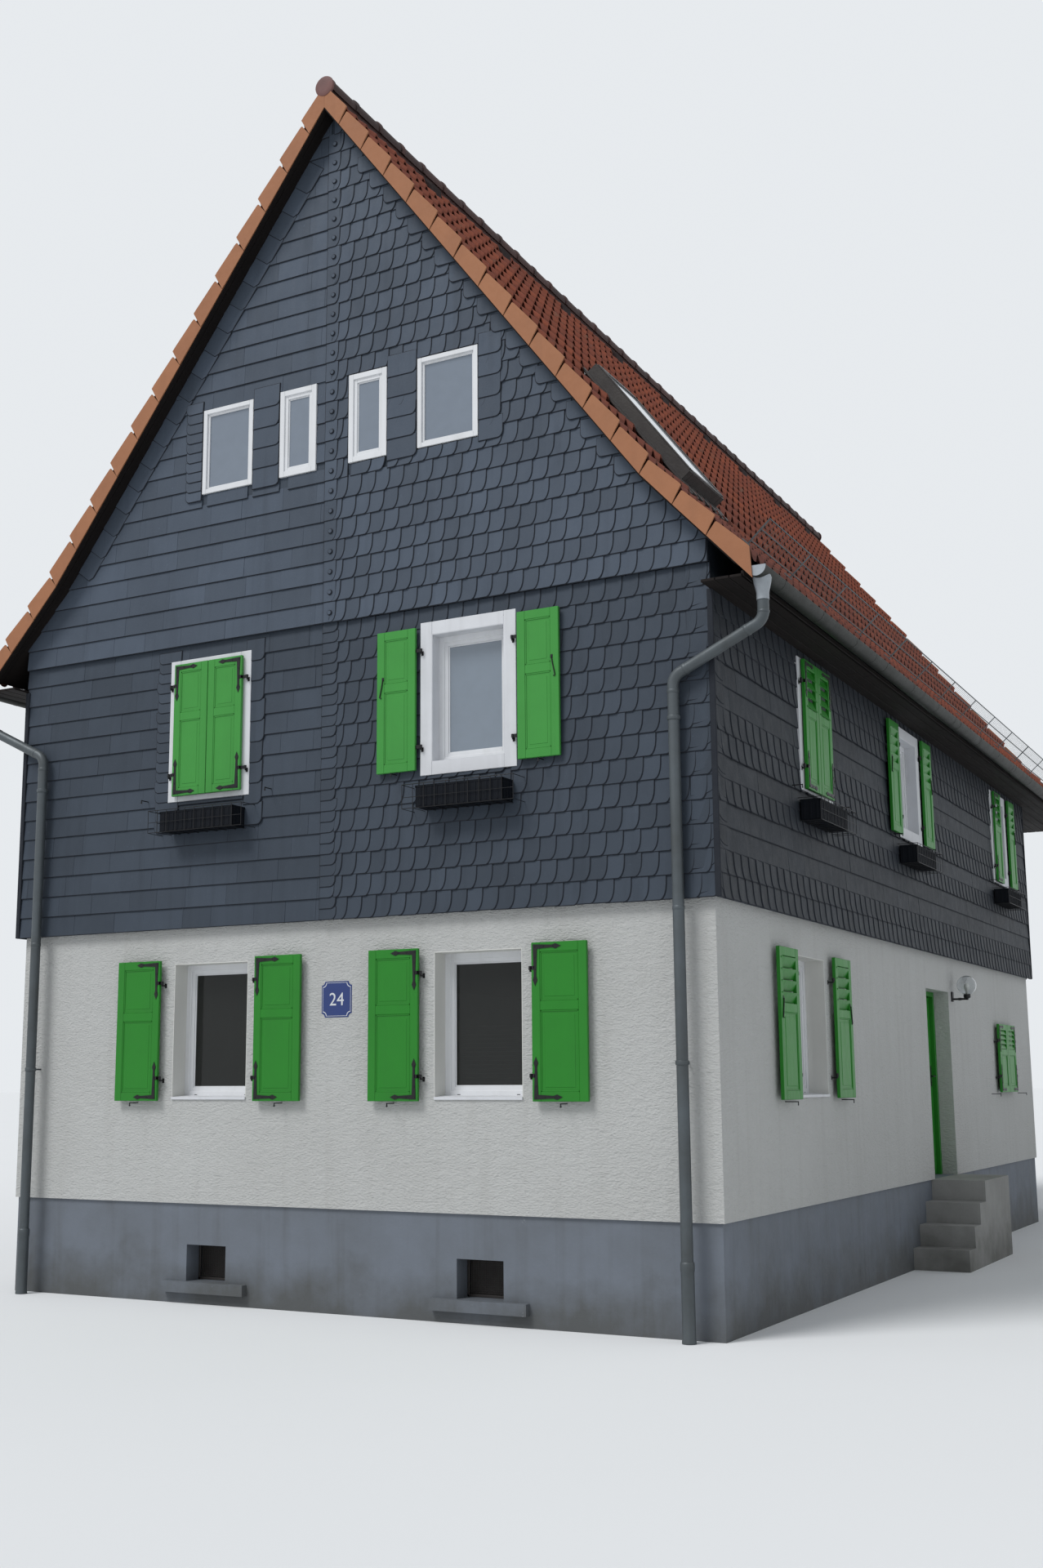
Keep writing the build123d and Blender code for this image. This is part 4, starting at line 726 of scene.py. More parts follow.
def hangGableSlates(wall):
    shape = Shape(wallPlace(wall))
    holes = windowHoles(wall, "gable", 0.004)
    foot, top, out = house["gableFoot"] - 0.012, house["apex"], house["gableOut"] + slates["proud"]
    lows = courses(foot, top)
    upperCuts = roofCuts(roofPitch, house["apex"])
    eavesCuts = roofCuts(eavesPitch, house["eaves"] + house["eavesReach"] * math.tan(eavesPitch))
    for base in lows:
        reach = min(slateSides, (house["apex"] - base) / math.tan(roofPitch) + 0.25)
        cuts = upperCuts if base > kneeHeight else eavesCuts
        slateCourse(shape, base, -reach, -0.03, out, "plain", holes, cuts)
        slateCourse(shape, base, 0.0, reach, out, "curved", holes, cuts)
        # a narrow strip with a round stud to each course where the two fields meet
        if base < strip["top"]:
            outline = scaleOutline(strip["left"], strip["right"], base,
                                   base + slates["course"] + slates["tuck"], False, 0.05, 0.09)
            addSlate(shape, outline, (strip["left"], base), (strip["right"], base + 0.2),
                     out + strip["out"], stack["lift"], limits=cuts)
            addSlate(shape, circle(strip["studX"], base + strip["studUp"], strip["stud"], 12), (0, base),
                     (0.04, base + 0.2), out + strip["studOut"], 0.004, limits=cuts,
                     thickness=strip["studThick"])
    for low, high, spacing, side in ((-1.6, -1.402, 0.091, "left"), (-0.84, -0.545, 0.182, "right"),
                                     (0.579, 0.881, 0.182, "right"), (1.473, 1.7, 0.182, "right")):
        slateStack(shape, low, high, 7.05, 7.99, spacing, out + 0.018, [side], holes)
    # straight border slates up one verge, rounded ones up the other
    cosine, sine, gauge, wide = math.cos(roofPitch), math.sin(roofPitch), border["gauge"], border["wide"]
    corners = ((-border["lap"], 0.0), (gauge, 0.0), (gauge, 0.17), (gauge - border["cut"], wide),
               (-border["lap"], wide))
    for k in range(int(house["kneeReach"] / cosine / gauge)):
        quad = [(across * sine - (gauge * k + along) * cosine,
                 house["apex"] - (gauge * k + along) * sine - across * cosine) for along, across in corners]
        low, high = min(p[0] for p in quad), max(p[0] for p in quad)
        if high < -0.1:
            addSlate(shape, quad[::-1] if outlineArea(quad) < 0 else quad, (low, quad[0][1] - 0.3),
                     (high, quad[0][1]), out + border["out"], 0.006, 0, holes, upperCuts)
    for base in lows:
        base += 0.45 * (top - foot) / len(lows)
        reach = (house["apex"] - base - 0.08) / math.tan(roofPitch)
        if 0.35 < reach < slateSides and base > kneeHeight:
            slateStack(shape, reach - 0.17, reach + 0.1, base, base + 0.15, 0.15,
                       out + border["roundOut"], ["left", "right"], holes, upperCuts)
    # the gable slates take the lighter copy that paints the brighter light on the gables
    shape.piece(wall + "GableSlates", litGableSlateFinish, slot="slate", second=edgeAndShadowFinish, weld=1e-5)


def hangSideSlates():
    shape = Shape(wallPlace("right"))
    holes = windowHoles("right", "upper", 0.05)
    foot, top, out = house["slateFoot"] - 0.012, house["sideTop"], house["slateOut"] + slates["proud"]
    kinds = ["curved", "curved", "plain", "plain", "curved", "plain", "curved", "curved", "plain", "plain",
             "curved", "curved", "curved", "curved"]
    start, end = -house["slateOut"] - 0.008, house["sideEnd"] - house["front"] + house["slateOut"]
    slateField(shape, start, end, foot, top, out, kinds, holes, True, slates["sideScale"])
    cornerSlates(shape, start, (0.24, 0.18), foot, top, out, 0.15, 0.08)
    # the side wall's slates take the darker copy that paints the eaves' shade
    shape.piece("sideSlates", shadedSideSlateFinish, slot="slate", second=edgeAndShadowFinish, weld=1e-5)


def hangPlainWall(name, wall, left, right, top, kind="plain"):
    shape = Shape(wallPlace(wall))
    slateField(shape, left, right, house["slateFoot"] - 0.012, top, house["slateOut"] + slates["proud"],
               [kind], windowHoles(wall, "upper", 0.05), kind == "curved", slates["sideScale"])
    shape.piece(name, slateFinish, slot="slate", second=edgeAndShadowFinish, weld=1e-5)


hangFrontSlates()
hangGableSlates("front")
hangGableSlates("rear")
hangSideSlates()
wallEnd = 2 * house["rear"] + house["slateOut"]
hangPlainWall("rearSlates", "rear", -house["bayFace"] - house["slateOut"], slateSides,
              house["gableFoot"] - 0.004)
hangPlainWall("leftSlates", "left", -house["slateOut"], wallEnd, house["sideTop"])
hangPlainWall("baySlates", "bay", house["sideEnd"] - house["front"], wallEnd, house["sideTop"], "curved")
hangPlainWall("returnSlates", "return", -house["halfWidth"], -house["bayFace"], house["sideTop"])

# narrow metal beads that cover the slates' ends at the corners
bead = {"wide": 0.022, "proud": 0.024, "top": 5.5}
beads = Shape()
streetSlates, rearSlates = house["front"] - house["slateOut"], house["rear"] + house["slateOut"]
for x, y in ((slateSides, streetSlates), (-slateSides, streetSlates), (-slateSides, rearSlates),
             (house["bayFace"] + house["slateOut"], rearSlates),
             (slateSides, house["sideEnd"] + house["slateOut"])):
    sideX, sideY = math.copysign(1, x), math.copysign(1, y)
    beads.block((x - sideX * bead["wide"], y + sideY * 0.002, house["slateFoot"] - 0.01),
                (x + sideX * bead["proud"], y + sideY * bead["proud"], bead["top"]), 0.004)
beads.piece("cornerBeads", edgeAndShadowFinish, slot="slate")
print("slates hung")


# Roof tiles: pantile courses whose raised feet leave dark hollows over the next course
tiles = {"courses": 16, "pitch": 0.168, "valley": 0.086, "lap": 0.026, "headWave": 0.008, "footWave": 0.044,
         "thick": 0.014, "overlap": 0.045, "return": 0.06}
waveSteps = [(0.0, 1.0), (0.09, 0.86), (0.18, 0.52), (0.28, 0.16), (0.42, 0.0), (0.62, 0.0), (0.74, 0.16),
             (0.84, 0.52), (0.92, 0.86)]


def layTiles(side, name, node, opening=None):
    shape = Shape()
    count = round((roofEnd - roofStart) / tiles["pitch"])
    pitch = (roofEnd - roofStart) / count
    columns = [(roofStart + (k + share) * pitch, height) for k in range(count) for share, height in waveSteps]
    columns.append((roofEnd, 1.0))
    wide, gauge = len(columns), slopeLength / tiles["courses"]
    for course in range(tiles["courses"]):
        head, foot = max(0.0, course * gauge - tiles["overlap"]), (course + 1) * gauge
        rows = []
        for share in (0.0, 0.5, 1.0):
            wave = tiles["headWave"] + share * (tiles["footWave"] - tiles["headWave"])
            rows.append((head + share * (foot - head), tiles["valley"] + share * tiles["lap"], wave))
        down, base, wave = rows[-1]
        rows += [(foot, base - tiles["thick"], wave),
                 (foot - tiles["return"], base - tiles["thick"] - 0.003, wave)]
        points = [slopePoint(side, min(down, slopeLength), base + wave * height, y)
                  for down, base, wave in rows for y, height in columns]
        faces = []
        for r in range(len(rows) - 1):
            for c in range(wide - 1):
                if (opening and opening[0] < columns[c][0] < opening[1]
                        and opening[2] < (head + foot) / 2 < opening[3]):
                    continue
                face = [r * wide + c, r * wide + c + 1, (r + 1) * wide + c + 1, (r + 1) * wide + c]
                faces.append(face if side > 0 else face[::-1])
        shape.add(points, faces)
    shape.piece(name, tileFinish, slot="clay_tile", replaced=[node], smooth=50)


roofWindow = {"back": 1.05, "reach": 2.43, "width": 0.78, "length": 1.4, "raise": 0.1, "face": 0.07}
windowY, windowDown = house["front"] + roofWindow["back"], roofWindow["reach"] / math.cos(roofPitch)
layTiles(1, "roofTilesRight", "roof_tiles_right",
         (windowY - 0.42, windowY + 0.42, windowDown - 0.76, windowDown + 0.72))
layTiles(-1, "roofTilesLeft", "roof_tiles_left")
print("roof tiled")

# Verge tiles: flat pieces with a dipped, rounded head tucked under the foot of the one above
verge = {"count": 16, "step": 0.026, "outer": 0.0145, "headCurve": 0.05, "tuck": 0.006}
vergeShape = Shape()
rise, gauge = house["tileTop"], slopeLength / verge["count"]
for side in (-1, 1):
    for end in (-1, 1):
        for k in range(verge["count"]):
            head, foot = k * gauge, (k + 1) * gauge
            dip = rise - verge["step"]
            profile = [(head + 0.002, dip - 0.012), (head + 0.018, dip - 0.003),
                       (head + verge["headCurve"], dip + 0.002),
                       (foot - 0.03, rise - 0.001), (foot + 0.012, rise)]
            # the joints stand square to the slope, so the lower edge lies further up
            back = rise * math.sin(roofPitch)
            profile += [(foot - (0 if k == verge["count"] - 1 else back + 0.003), 0.002),
                        (head + 0.001 - back, 0.002)]
            lean = random.uniform(-0.0008, 0.0008)
            inner = [slopePoint(side, max(0.0, min(down, slopeLength)), height, end * (roofEnd + lean))
                     for down, height in profile]
            outer = [p + Vector((0, end * (verge["outer"] - verge["tuck"] * (1 - (down - head) / gauge)), 0))
                     for p, (down, _) in zip(inner, profile)]
            vergeShape.loft([inner, outer])
vergeShape.piece("vergeTiles", vergeFinish, slot="verge_clay", replaced=["verge_tiles"])

# Ridge: half-round tiles, each with a raised mouth lapping the one behind it
ridge = {"centre": 10.662, "radius": 0.083, "mouth": 0.092, "wall": 0.012, "gauge": 0.4, "sweep": 118}
ridgeShape = Shape()
ridgeArc = [math.radians(90 + ridge["sweep"] * (i / 7 - 1)) for i in range(15)]
ridgeStep = (roofEnd - roofStart) / round((roofEnd - roofStart) / ridge["gauge"])
for k in range(round((roofEnd - roofStart) / ridge["gauge"])):
    begin = roofStart + k * ridgeStep
    finish = min(begin + ridgeStep + 0.03, roofEnd)
    centre = ridge["centre"] + random.uniform(-0.003, 0.001)
    mouth, wall = ridge["mouth"], ridge["wall"]
    rings = [(begin, mouth - 0.002), (begin + 0.006, mouth), (begin + 0.045, mouth),
             (begin + 0.055, ridge["radius"]), (finish, ridge["radius"] - 0.005)]
    ridgeShape.loft([[(reach * math.cos(a), y, centre + reach * math.sin(a))
                      for reach, arc in ((radius, ridgeArc), (radius - wall, ridgeArc[::-1])) for a in arc]
                     for y, radius in rings], "band")
# the bedding under the ridge, between the two slopes
ridgeShape.block((-0.05, roofStart + 0.004, house["apex"] + 0.02),
                 (0.05, roofEnd - 0.004, ridge["centre"] + 0.03))
ridgeShape.piece("ridgeTiles", ridgeFinish, slot="ridge_clay", replaced=["ridge_tiles"], smooth=40)
discs = Shape()
for end in (-1, 1):
    discs.loft([[(x, end * (roofEnd + out), z) for x, z in circle(0, ridge["centre"] - 0.004, radius, 28)]
                for radius, out in ((0.05, 0.0175), (0.082, 0.016), (0.094, 0.012), (0.097, 0.004),
                                    (0.095, -0.01))], "first")
discs.piece("ridgeEndDiscs", discFinish, slot="ridge_clay", smooth=35)

# Dark vent tiles in the top course
vents = {"first": -5.65, "spacing": 1.45, "count": 9, "low": 0.17, "high": 0.43, "wide": 0.1}
ventShape = Shape()
for side in (-1, 1):
    for k in range(vents["count"]):
        y = vents["first"] + k * vents["spacing"]
        points = [slopePoint(side, down, lift - bow, y + across * vents["wide"])
                  for down, lift in ((vents["low"], 0.135), (vents["high"] - 0.05, 0.166),
                                     (vents["high"], 0.17), (vents["high"], 0.14))
                  for across, bow in ((-1, 0.02), (-0.8, 0.0), (0.8, 0.0), (1, 0.02))]
        faces = [[4 * r + i, 4 * r + i + 1, 4 * r + i + 5, 4 * r + i + 4] for r in range(3) for i in range(3)]
        ventShape.add(points, faces + [[0, 4, 8, 12], [3, 15, 11, 7], [15, 14, 13, 12], [0, 3, 2, 1]])
ventShape.piece("ventTiles", ventFinish, slot="ridge_clay")

# Roof window: sheet-metal frame with a raised flap, an opaque pale pane that paints the sky's reflection, and
# a pleated apron
lightOrigin = Vector((roofWindow["reach"], windowY, underside(roofWindow["reach"])))
lightUp = Vector((math.sin(roofPitch), 0, math.cos(roofPitch)))
lightDown = Vector((math.cos(roofPitch), 0, -math.sin(roofPitch)))


def onRoof(p):
    # along the eaves, up the slope, and out of it
    return lightOrigin + Vector((0, p[0], 0)) - lightDown * p[1] + lightUp * p[2]


lightFrame, lightPane, apron = Shape(onRoof), Shape(onRoof), Shape(onRoof)
halfWide, halfLong = roofWindow["width"] / 2, roofWindow["length"] / 2
face, top = roofWindow["face"], house["tileTop"] + roofWindow["raise"]
lightFrame.framing(-halfWide, halfWide, -halfLong, halfLong, face, 0.08, top - 0.012, 0.004)
for side in (-1, 1):
    lightFrame.block((side * (halfWide - face + 0.012), -halfLong + 0.02, top - 0.014),
                     (side * (halfWide - 0.004), halfLong - 0.02, top), 0.004)
    apron.block((side * halfWide, -halfLong - 0.05, 0.126),
                (side * (halfWide + 0.05), halfLong + 0.04, 0.15), 0.006)
lightFrame.block((-halfWide + face, halfLong - face - 0.01, top - 0.016),
                 (halfWide - face, halfLong - 0.004, top), 0.004)
lightFrame.block((-halfWide + face, -halfLong + 0.004, top - 0.016),
                 (halfWide - face, -halfLong + face, top - 0.004), 0.004)
lightFrame.piece("roofWindowFrame", leadFinish, slot="roof_window_metal", replaced=["roof_window"])
lightPane.block((-halfWide + face - 0.02, -halfLong + face - 0.02, top - 0.022),
                (halfWide - face + 0.02, halfLong - face + 0.02, top - 0.01), 0.003)
# the pane's pale colour is a painted sky reflection
lightPane.piece("roofWindowPane", roofReflectionGlass, slot="roof_window_metal")
pleats = 12
pleat = (2 * halfWide + 0.1) / pleats
for k in range(pleats):
    low, lift = -halfWide - 0.05 + k * pleat, 0.012 * (k % 2)
    apron.block((low, -halfLong - 0.16, 0.118 + lift), (low + pleat, -halfLong, 0.14 + lift), 0.006)
apron.block((-halfWide - 0.06, halfLong, 0.085), (halfWide + 0.06, halfLong + 0.36, 0.102), 0.006)
apron.piece("roofWindowApron", leadFinish, slot="roof_window_metal")
print("roof trimmed")

# Boarded eaves and verges
eaves = {"soffit": 5.5, "fascia": 3.79, "thick": 0.022, "gap": 0.006, "split": 0.05, "fasciaLength": 3.6}
boards, underBoards = Shape(), Shape()
bayStart = house["sideEnd"] + eaves["split"]
for side in (-1, 1):
    spans = [(roofStart, roofEnd, slateSides, 3)] if side < 0 else [
        (roofStart, bayStart, slateSides, 3), (bayStart, roofEnd, house["bayFace"] + eaves["split"], 8)]
    for start, end, inner, rows in spans:
        step = (eaves["fascia"] - inner) / rows
        for row in range(rows):
            low = start
            while low < end:
                high = min(low + random.uniform(2.6, 4.2), end)
                if end - high < 0.6:
                    high = end
                boards.block((side * (inner + row * step), low + 0.001, eaves["soffit"]),
                             (side * (inner + (row + 1) * step - eaves["gap"]), high - 0.001,
                              eaves["soffit"] + eaves["thick"]), 0.003)
                low = high
    low = roofStart
    while low < roofEnd:
        high = min(low + eaves["fasciaLength"], roofEnd)
        boards.block((side * (eaves["fascia"] - eaves["thick"]), low + 0.001, eaves["soffit"]),
                     (side * eaves["fascia"], high - 0.001, underside(eaves["fascia"])), 0.003)
        low = high
boards.piece("eavesBoards", boardFinish, slot="dark_boards", replaced=["eaves_boards"])
lines = roofLine(0.0)
for end in (-1, 1):
    for side in (-1, 1):
        for inner, outer in ((0.002, 0.05), (0.055, 0.105)):
            section = ((inner, 0.0), (outer, 0.0), (outer, 0.014), (inner, 0.014))
            for span in zip(lines, lines[1:]):
                underBoards.loft([[(side * x, end * (roofEnd - back), z - drop) for back, drop in section]
                                  for x, z in span])
underBoards.piece("vergeBoards", boardFinish, slot="dark_boards")

# Gutters: half-round zinc with a rolled rim, jointed lengths, straps, end caps and funnels
gutter = {"x": 3.885, "z": 5.56, "radius": 0.075, "wall": 0.004, "rim": 0.0075, "length": 3.0, "straps": 15,
          "strapWide": 0.03, "cap": 0.0745}
outletY = streetSlates - 0.065
gutterShape, funnels, caps = Shape(), Shape(), Shape()


def halfTrough(shape, side, start, end, outer, inner):
    arc = [math.radians(180 + 180 * i / 14) for i in range(15)]
    shape.loft([[(side * (gutter["x"] + radius * math.cos(a)), y, gutter["z"] + radius * math.sin(a))
                 for radius, turns in ((outer, arc), (inner, arc[::-1])) for a in turns]
                for y in (start, end)], "band")


for side in (-1, 1):
    low, radius = roofStart, gutter["radius"]
    while low < roofEnd - 0.01:
        high = min(low + gutter["length"], roofEnd)
        halfTrough(gutterShape, side, low, high, radius - 0.0015, radius - gutter["wall"])
        if high < roofEnd:
            halfTrough(gutterShape, side, high - 0.02, high + 0.02, radius - 0.0002, radius - 0.003)
        low = high
    rimX = side * (gutter["x"] + radius - gutter["rim"] - 0.0005)
    gutterShape.tube([(rimX, y, gutter["z"] - 0.002) for y in (roofStart, 0, roofEnd)], gutter["rim"], 8)
    for k in range(gutter["straps"]):
        y = (k + 0.5) * (roofEnd - roofStart) / gutter["straps"] + roofStart
        low, high = y - gutter["strapWide"] / 2, y + gutter["strapWide"] / 2
        halfTrough(gutterShape, side, low, high, radius, radius - 0.003)
        gutterShape.block((side * eaves["fascia"], low, gutter["z"] - 0.012),
                          (side * (gutter["x"] - radius + 0.002), high, gutter["z"]), 0.002)
    funnels.lathe((side * gutter["x"], outletY, 0),
                  [(0.062, 5.527), (0.07, 5.5), (0.068, 5.492), (0.066, 5.47), (0.052, 5.41), (0.0475, 5.385),
                   (0.0475, 5.3347), (0.043, 5.3347), (0.043, 5.385), (0.058, 5.5), (0.058, 5.527),
                   (0.062, 5.527)], 24)
    bow = [(gutter["cap"] * math.cos(a), gutter["cap"] * math.sin(a))
           for a in (math.radians(180 + 180 * i / 16) for i in range(17))]
    outline = [(-gutter["cap"], 0.006)] + bow + [(gutter["cap"], 0.006)]
    for end in (-1, 1):
        caps.loft([[(side * (gutter["x"] + x), end * (roofEnd + out), gutter["z"] + z) for x, z in outline]
                   for out in (-0.003, 0.0015)])
gutterShape.piece("gutters", gutterFinish, slot="zinc", replaced=["gutters"], smooth=40)
caps.piece("gutterCaps", capFinish, slot="zinc")
funnels.piece("gutterFunnels", capFinish, slot="zinc", smooth=40)

# Downpipes: bent neck with seamed sleeves, collars held off the wall, and a cast standpipe
pipe = {"x": 3.16, "y": house["front"] - 0.13, "radius": 0.044, "bend": 0.11, "standTop": 0.56,
        "top": 5.3345, "neckTop": 5.1847, "neckFoot": 4.8347, "collars": ((4.5, 0.05), (1.94, 0.0))}


def roundedPath(corners, radius, steps=6):
    # a path whose inner corners are turned into arcs
    path = [Vector(corners[0])]
    for before, corner, after in zip(corners, corners[1:], corners[2:]):
        before, corner, after = Vector(before), Vector(corner), Vector(after)
        back, on = (before - corner).normalized(), (after - corner).normalized()
        half = back.angle(on) / 2
        reach = radius / math.tan(half)
        centre = corner + (back + on).normalized() * radius / math.sin(half)
        first, last = corner + back * reach - centre, corner + on * reach - centre
        axis, turn = first.cross(last).normalized(), first.angle(last)
        path += [centre + Matrix.Rotation(turn * k / steps, 3, axis) @ first for k in range(steps + 1)]
    return path + [Vector(corners[-1])]


pipes, down = Shape(), Vector((0, 0, -1))
for side in (-1, 1):
    x, y = side * pipe["x"], pipe["y"]
    corners = [Vector(p) for p in ((side * gutter["x"], outletY, pipe["top"]),
                                   (side * gutter["x"], outletY, pipe["neckTop"]),
                                   (x, y, pipe["neckFoot"]), (x, y, pipe["standTop"]))]
    pipes.tube(roundedPath(corners, pipe["bend"], 8), pipe["radius"], 20)
    neck = (corners[2] - corners[1]).normalized()
    for at, way, length in ((corners[1] - 0.05 * down, -down, 0.02), (corners[1] + neck * 0.13, neck, 0.03),
                            (corners[2] - neck * 0.13, neck, 0.03), (corners[2] + 0.1 * down, down, 0.03),
                            (Vector((x, y, 3.1)), down, 0.03)):
        pipes.tube([at, at + way * 0.003, at + way * (length - 0.003), at + way * length],
                   [0.0442, 0.0465, 0.0465, 0.0442], 20)
    pipes.lathe((x, y, 0), [(0.0, 0.001), (0.052, 0.001), (0.052, 0.02), (0.0485, 0.03), (0.0485, 0.49),
                            (0.052, 0.5), (0.052, 0.545), (0.05, 0.555), (0.0455, 0.56), (0.0, 0.56)])
    for height, face in pipe["collars"]:
        pipes.lathe((x, y, height), [(0.0445, 0.0), (0.049, 0.002), (0.0505, 0.006), (0.0505, 0.029),
                                     (0.049, 0.033), (0.0445, 0.035), (0.0445, 0.0)])
        pipes.block((x - 0.006, y + 0.03, height + 0.01),
                    (x + 0.006, house["front"] - face, height + 0.025), 0.002)
        for ear in (x - 0.0475, x + 0.0475):
            pipes.block((ear - 0.004, y - 0.012, height + 0.006),
                        (ear + 0.004, y + 0.012, height + 0.029), 0.002)
pipes.piece("downpipes", zincFinish, slot="zinc", replaced=["downpipes"], smooth=40)

# Snow guard: flat posts with three rails and a coarse wire mesh between them
guard = {"posts": 15, "height": 0.25, "foot": 0.025, "half": 6.95, "back": 0.15, "mesh": 0.05,
         "postWide": 0.022, "padWide": 0.028, "rail": 0.0055, "wire": 0.0014}
eavesOut = Vector((math.sin(eavesPitch), 0, math.cos(eavesPitch)))
guardX = tileFoot[0] - guard["back"] * math.cos(eavesPitch)
guardZ = tileFoot[1] + (tileFoot[0] - guardX) * (tileKnee[1] - tileFoot[1]) / (tileFoot[0] - tileKnee[0])


def onGuard(p):
    # along the eaves, up from the tiles, and down the slope
    return Vector((guardX, p[0], guardZ)) + eavesOut * p[1] + Vector((eavesOut.z, 0, -eavesOut.x)) * p[2]


guardShape = Shape(onGuard)
half, halfPost, halfPad = guard["half"], guard["postWide"] / 2, guard["padWide"] / 2
for k in range(guard["posts"]):
    y = halfPost - half + k * (2 * half - guard["postWide"]) / (guard["posts"] - 1)
    guardShape.block((y - halfPost, -0.005, -0.003), (y + halfPost, guard["height"], 0.003), 0.0012)
    guardShape.block((y - halfPad, -0.006, -0.06), (y + halfPad, 0.003, 0.02), 0.0012)
for height in (guard["foot"] + 0.006, (guard["foot"] + guard["height"]) / 2 + 0.006, guard["height"] - 0.006):
    guardShape.tube([(y, height, 0) for y in (-half, 0, half)], guard["rail"], 6)
wires = int(2 * half / guard["mesh"])
for k in range(1, wires):
    y = k * 2 * half / wires - half
    guardShape.tube([(y, guard["foot"], 0), (y, guard["height"] - 0.006, 0)], guard["wire"], 4, None)
guardShape.piece("snowGuard", zincFinish, slot="zinc", replaced=["snow_guard"], smooth=40)
print("gutters and pipes fitted")

# Windows: fixed frame, sash set back in it, and the pane between glazing beads
sash = {"frame": 0.05, "overlap": 0.042, "inner": 0.092, "depth": 0.06, "setBack": 0.013, "bead": 0.01}
parts = {kind: Shape() for kind in ("frames", "ground", "upper", "gable", "slots", "reveals", "sills")}
for wall, middle, sill, width, height, out, style in windows:
    for shape in parts.values():
        shape.place = wallPlace(wall)
    low, high, top = middle - width / 2, middle + width / 2, sill + height
    if style == "gable" and width > 0.5:      # the outer gable windows are fixed lights in one frame
        rings = [(0.0, 0.042, sash["depth"], 0.0), (0.04, 0.062, 0.05, 0.018)]
    else:
        inner = sash["inner"] - sash["bead"]
        rings = [(0.0, sash["frame"], sash["depth"], 0.0), (sash["overlap"], inner, 0.056, sash["setBack"]),
                 (inner - 0.001, sash["inner"], 0.045, sash["setBack"] + 0.01)]
    for begin, end, back, front in rings:
        parts["frames"].framing(low + begin, high - begin, sill + begin, top - begin, end - begin, out - back,
                                out - front, 0.003, tuck=0.001, thin=(0.0, 0.0004))
    edge = rings[-1][1] - 0.006
    parts[style].block((low + edge, sill + edge, out - 0.04), (high - edge, top - edge, out - 0.03), 0.001)
    if style == "ground":      # drain slots as black blocks that paint the shade inside them, smooth plaster lining of the reveal and a sloped sill strip
        # painted shade: black blocks on the frame's foot stand for the shaded drain slots
        for at in (low + 0.16 * width, low + 0.84 * width):
            parts["slots"].block((at - 0.014, sill + 0.016, out - 0.001),
                                 (at + 0.014, sill + 0.021, out + 0.0008), 0.0008)
        for edge, way in ((low, -1), (high, 1)):
            parts["reveals"].block((edge - way * 0.004, sill, out + 0.0005),
                                   (edge + way * 0.002, top, 0.0012), 0.0008)
        parts["reveals"].block((low, top - 0.004, out + 0.0005), (high, top + 0.002, 0.0012), 0.0008)
        section = [(sill - 0.012, out), (sill - 0.02, 0.012), (sill + 0.001, 0.014), (sill + 0.014, out)]
        parts["sills"].loft([[(along, *corner) for corner in section]
                             for along in (low + 0.001, high - 0.001)])
for kind, name, finish, slot, replaced in (
        ("frames", "windowFrames", frameFinish, "white_frame", ["window_frames"]),
        ("ground", "windowPanes", shadedPaneGlass, "window_pane", ["window_glass"]),
        ("upper", "upperPanes", upperPaneSkyReflectionGlass, "window_pane", ()),
        ("gable", "gablePanes", gableSkyReflectionGlass, "window_pane", ()),
        ("slots", "drainSlots", ironFinish, "black_iron", ()),
        ("reveals", "revealLinings", plasterFinish, "render", ()),
        ("sills", "sillStrips", surroundFinish, "white_boards", ())):
    parts[kind].piece(name, finish, slot=slot, replaced=replaced)

# A blind with level slats behind the street window on the right
blind = {"pitch": 0.034, "rows": 14, "behind": 0.085, "foot": 0.115, "halfWide": 0.29, "halfDeep": 0.012}
slats = Shape(wallPlace("front"))
middle, sill, out = windows[1][1], windows[1][2], windows[1][5] - blind["behind"]
for row in range(blind["rows"]):
    z = sill + blind["foot"] + row * blind["pitch"]
    slats.block((middle - blind["halfWide"], z, out - blind["halfDeep"]),
                (middle + blind["halfWide"], z + 0.003, out + blind["halfDeep"]), 0.001)
for along in (middle - 0.2, middle + 0.2):
    slats.block((along - 0.001, 1.8, out - 0.001), (along + 0.001, 2.75, out + 0.001), 0.0004)
slats.piece("blindSlats", surroundFinish, slot="white_boards")

# White boards round the upper windows, with a lining inside the opening
surround = {"face": 0.11, "thick": 0.025, "back": -0.04, "lining": 0.004}
cover = house["slateOut"] + surround["thick"]
for wall in ("front", "right", "rear"):
    shape = Shape(wallPlace(wall))
    for low, high, sill, top in windowHoles(wall, "upper", 0.0):
        face = surround["face"]
        shape.framing(low - face, high + face, sill - face, top + face, face, house["slateOut"] - 0.004,
                      cover, 0.003, thin=(0.0, 0.001))
        shape.border(low, high, sill, top, surround["lining"], (surround["back"], cover - 0.002), 0.0015,
                     past=0.001)
    shape.piece("surrounds" + wall.capitalize(), surroundFinish, slot="white_boards",
                replaced=["window_surrounds"])

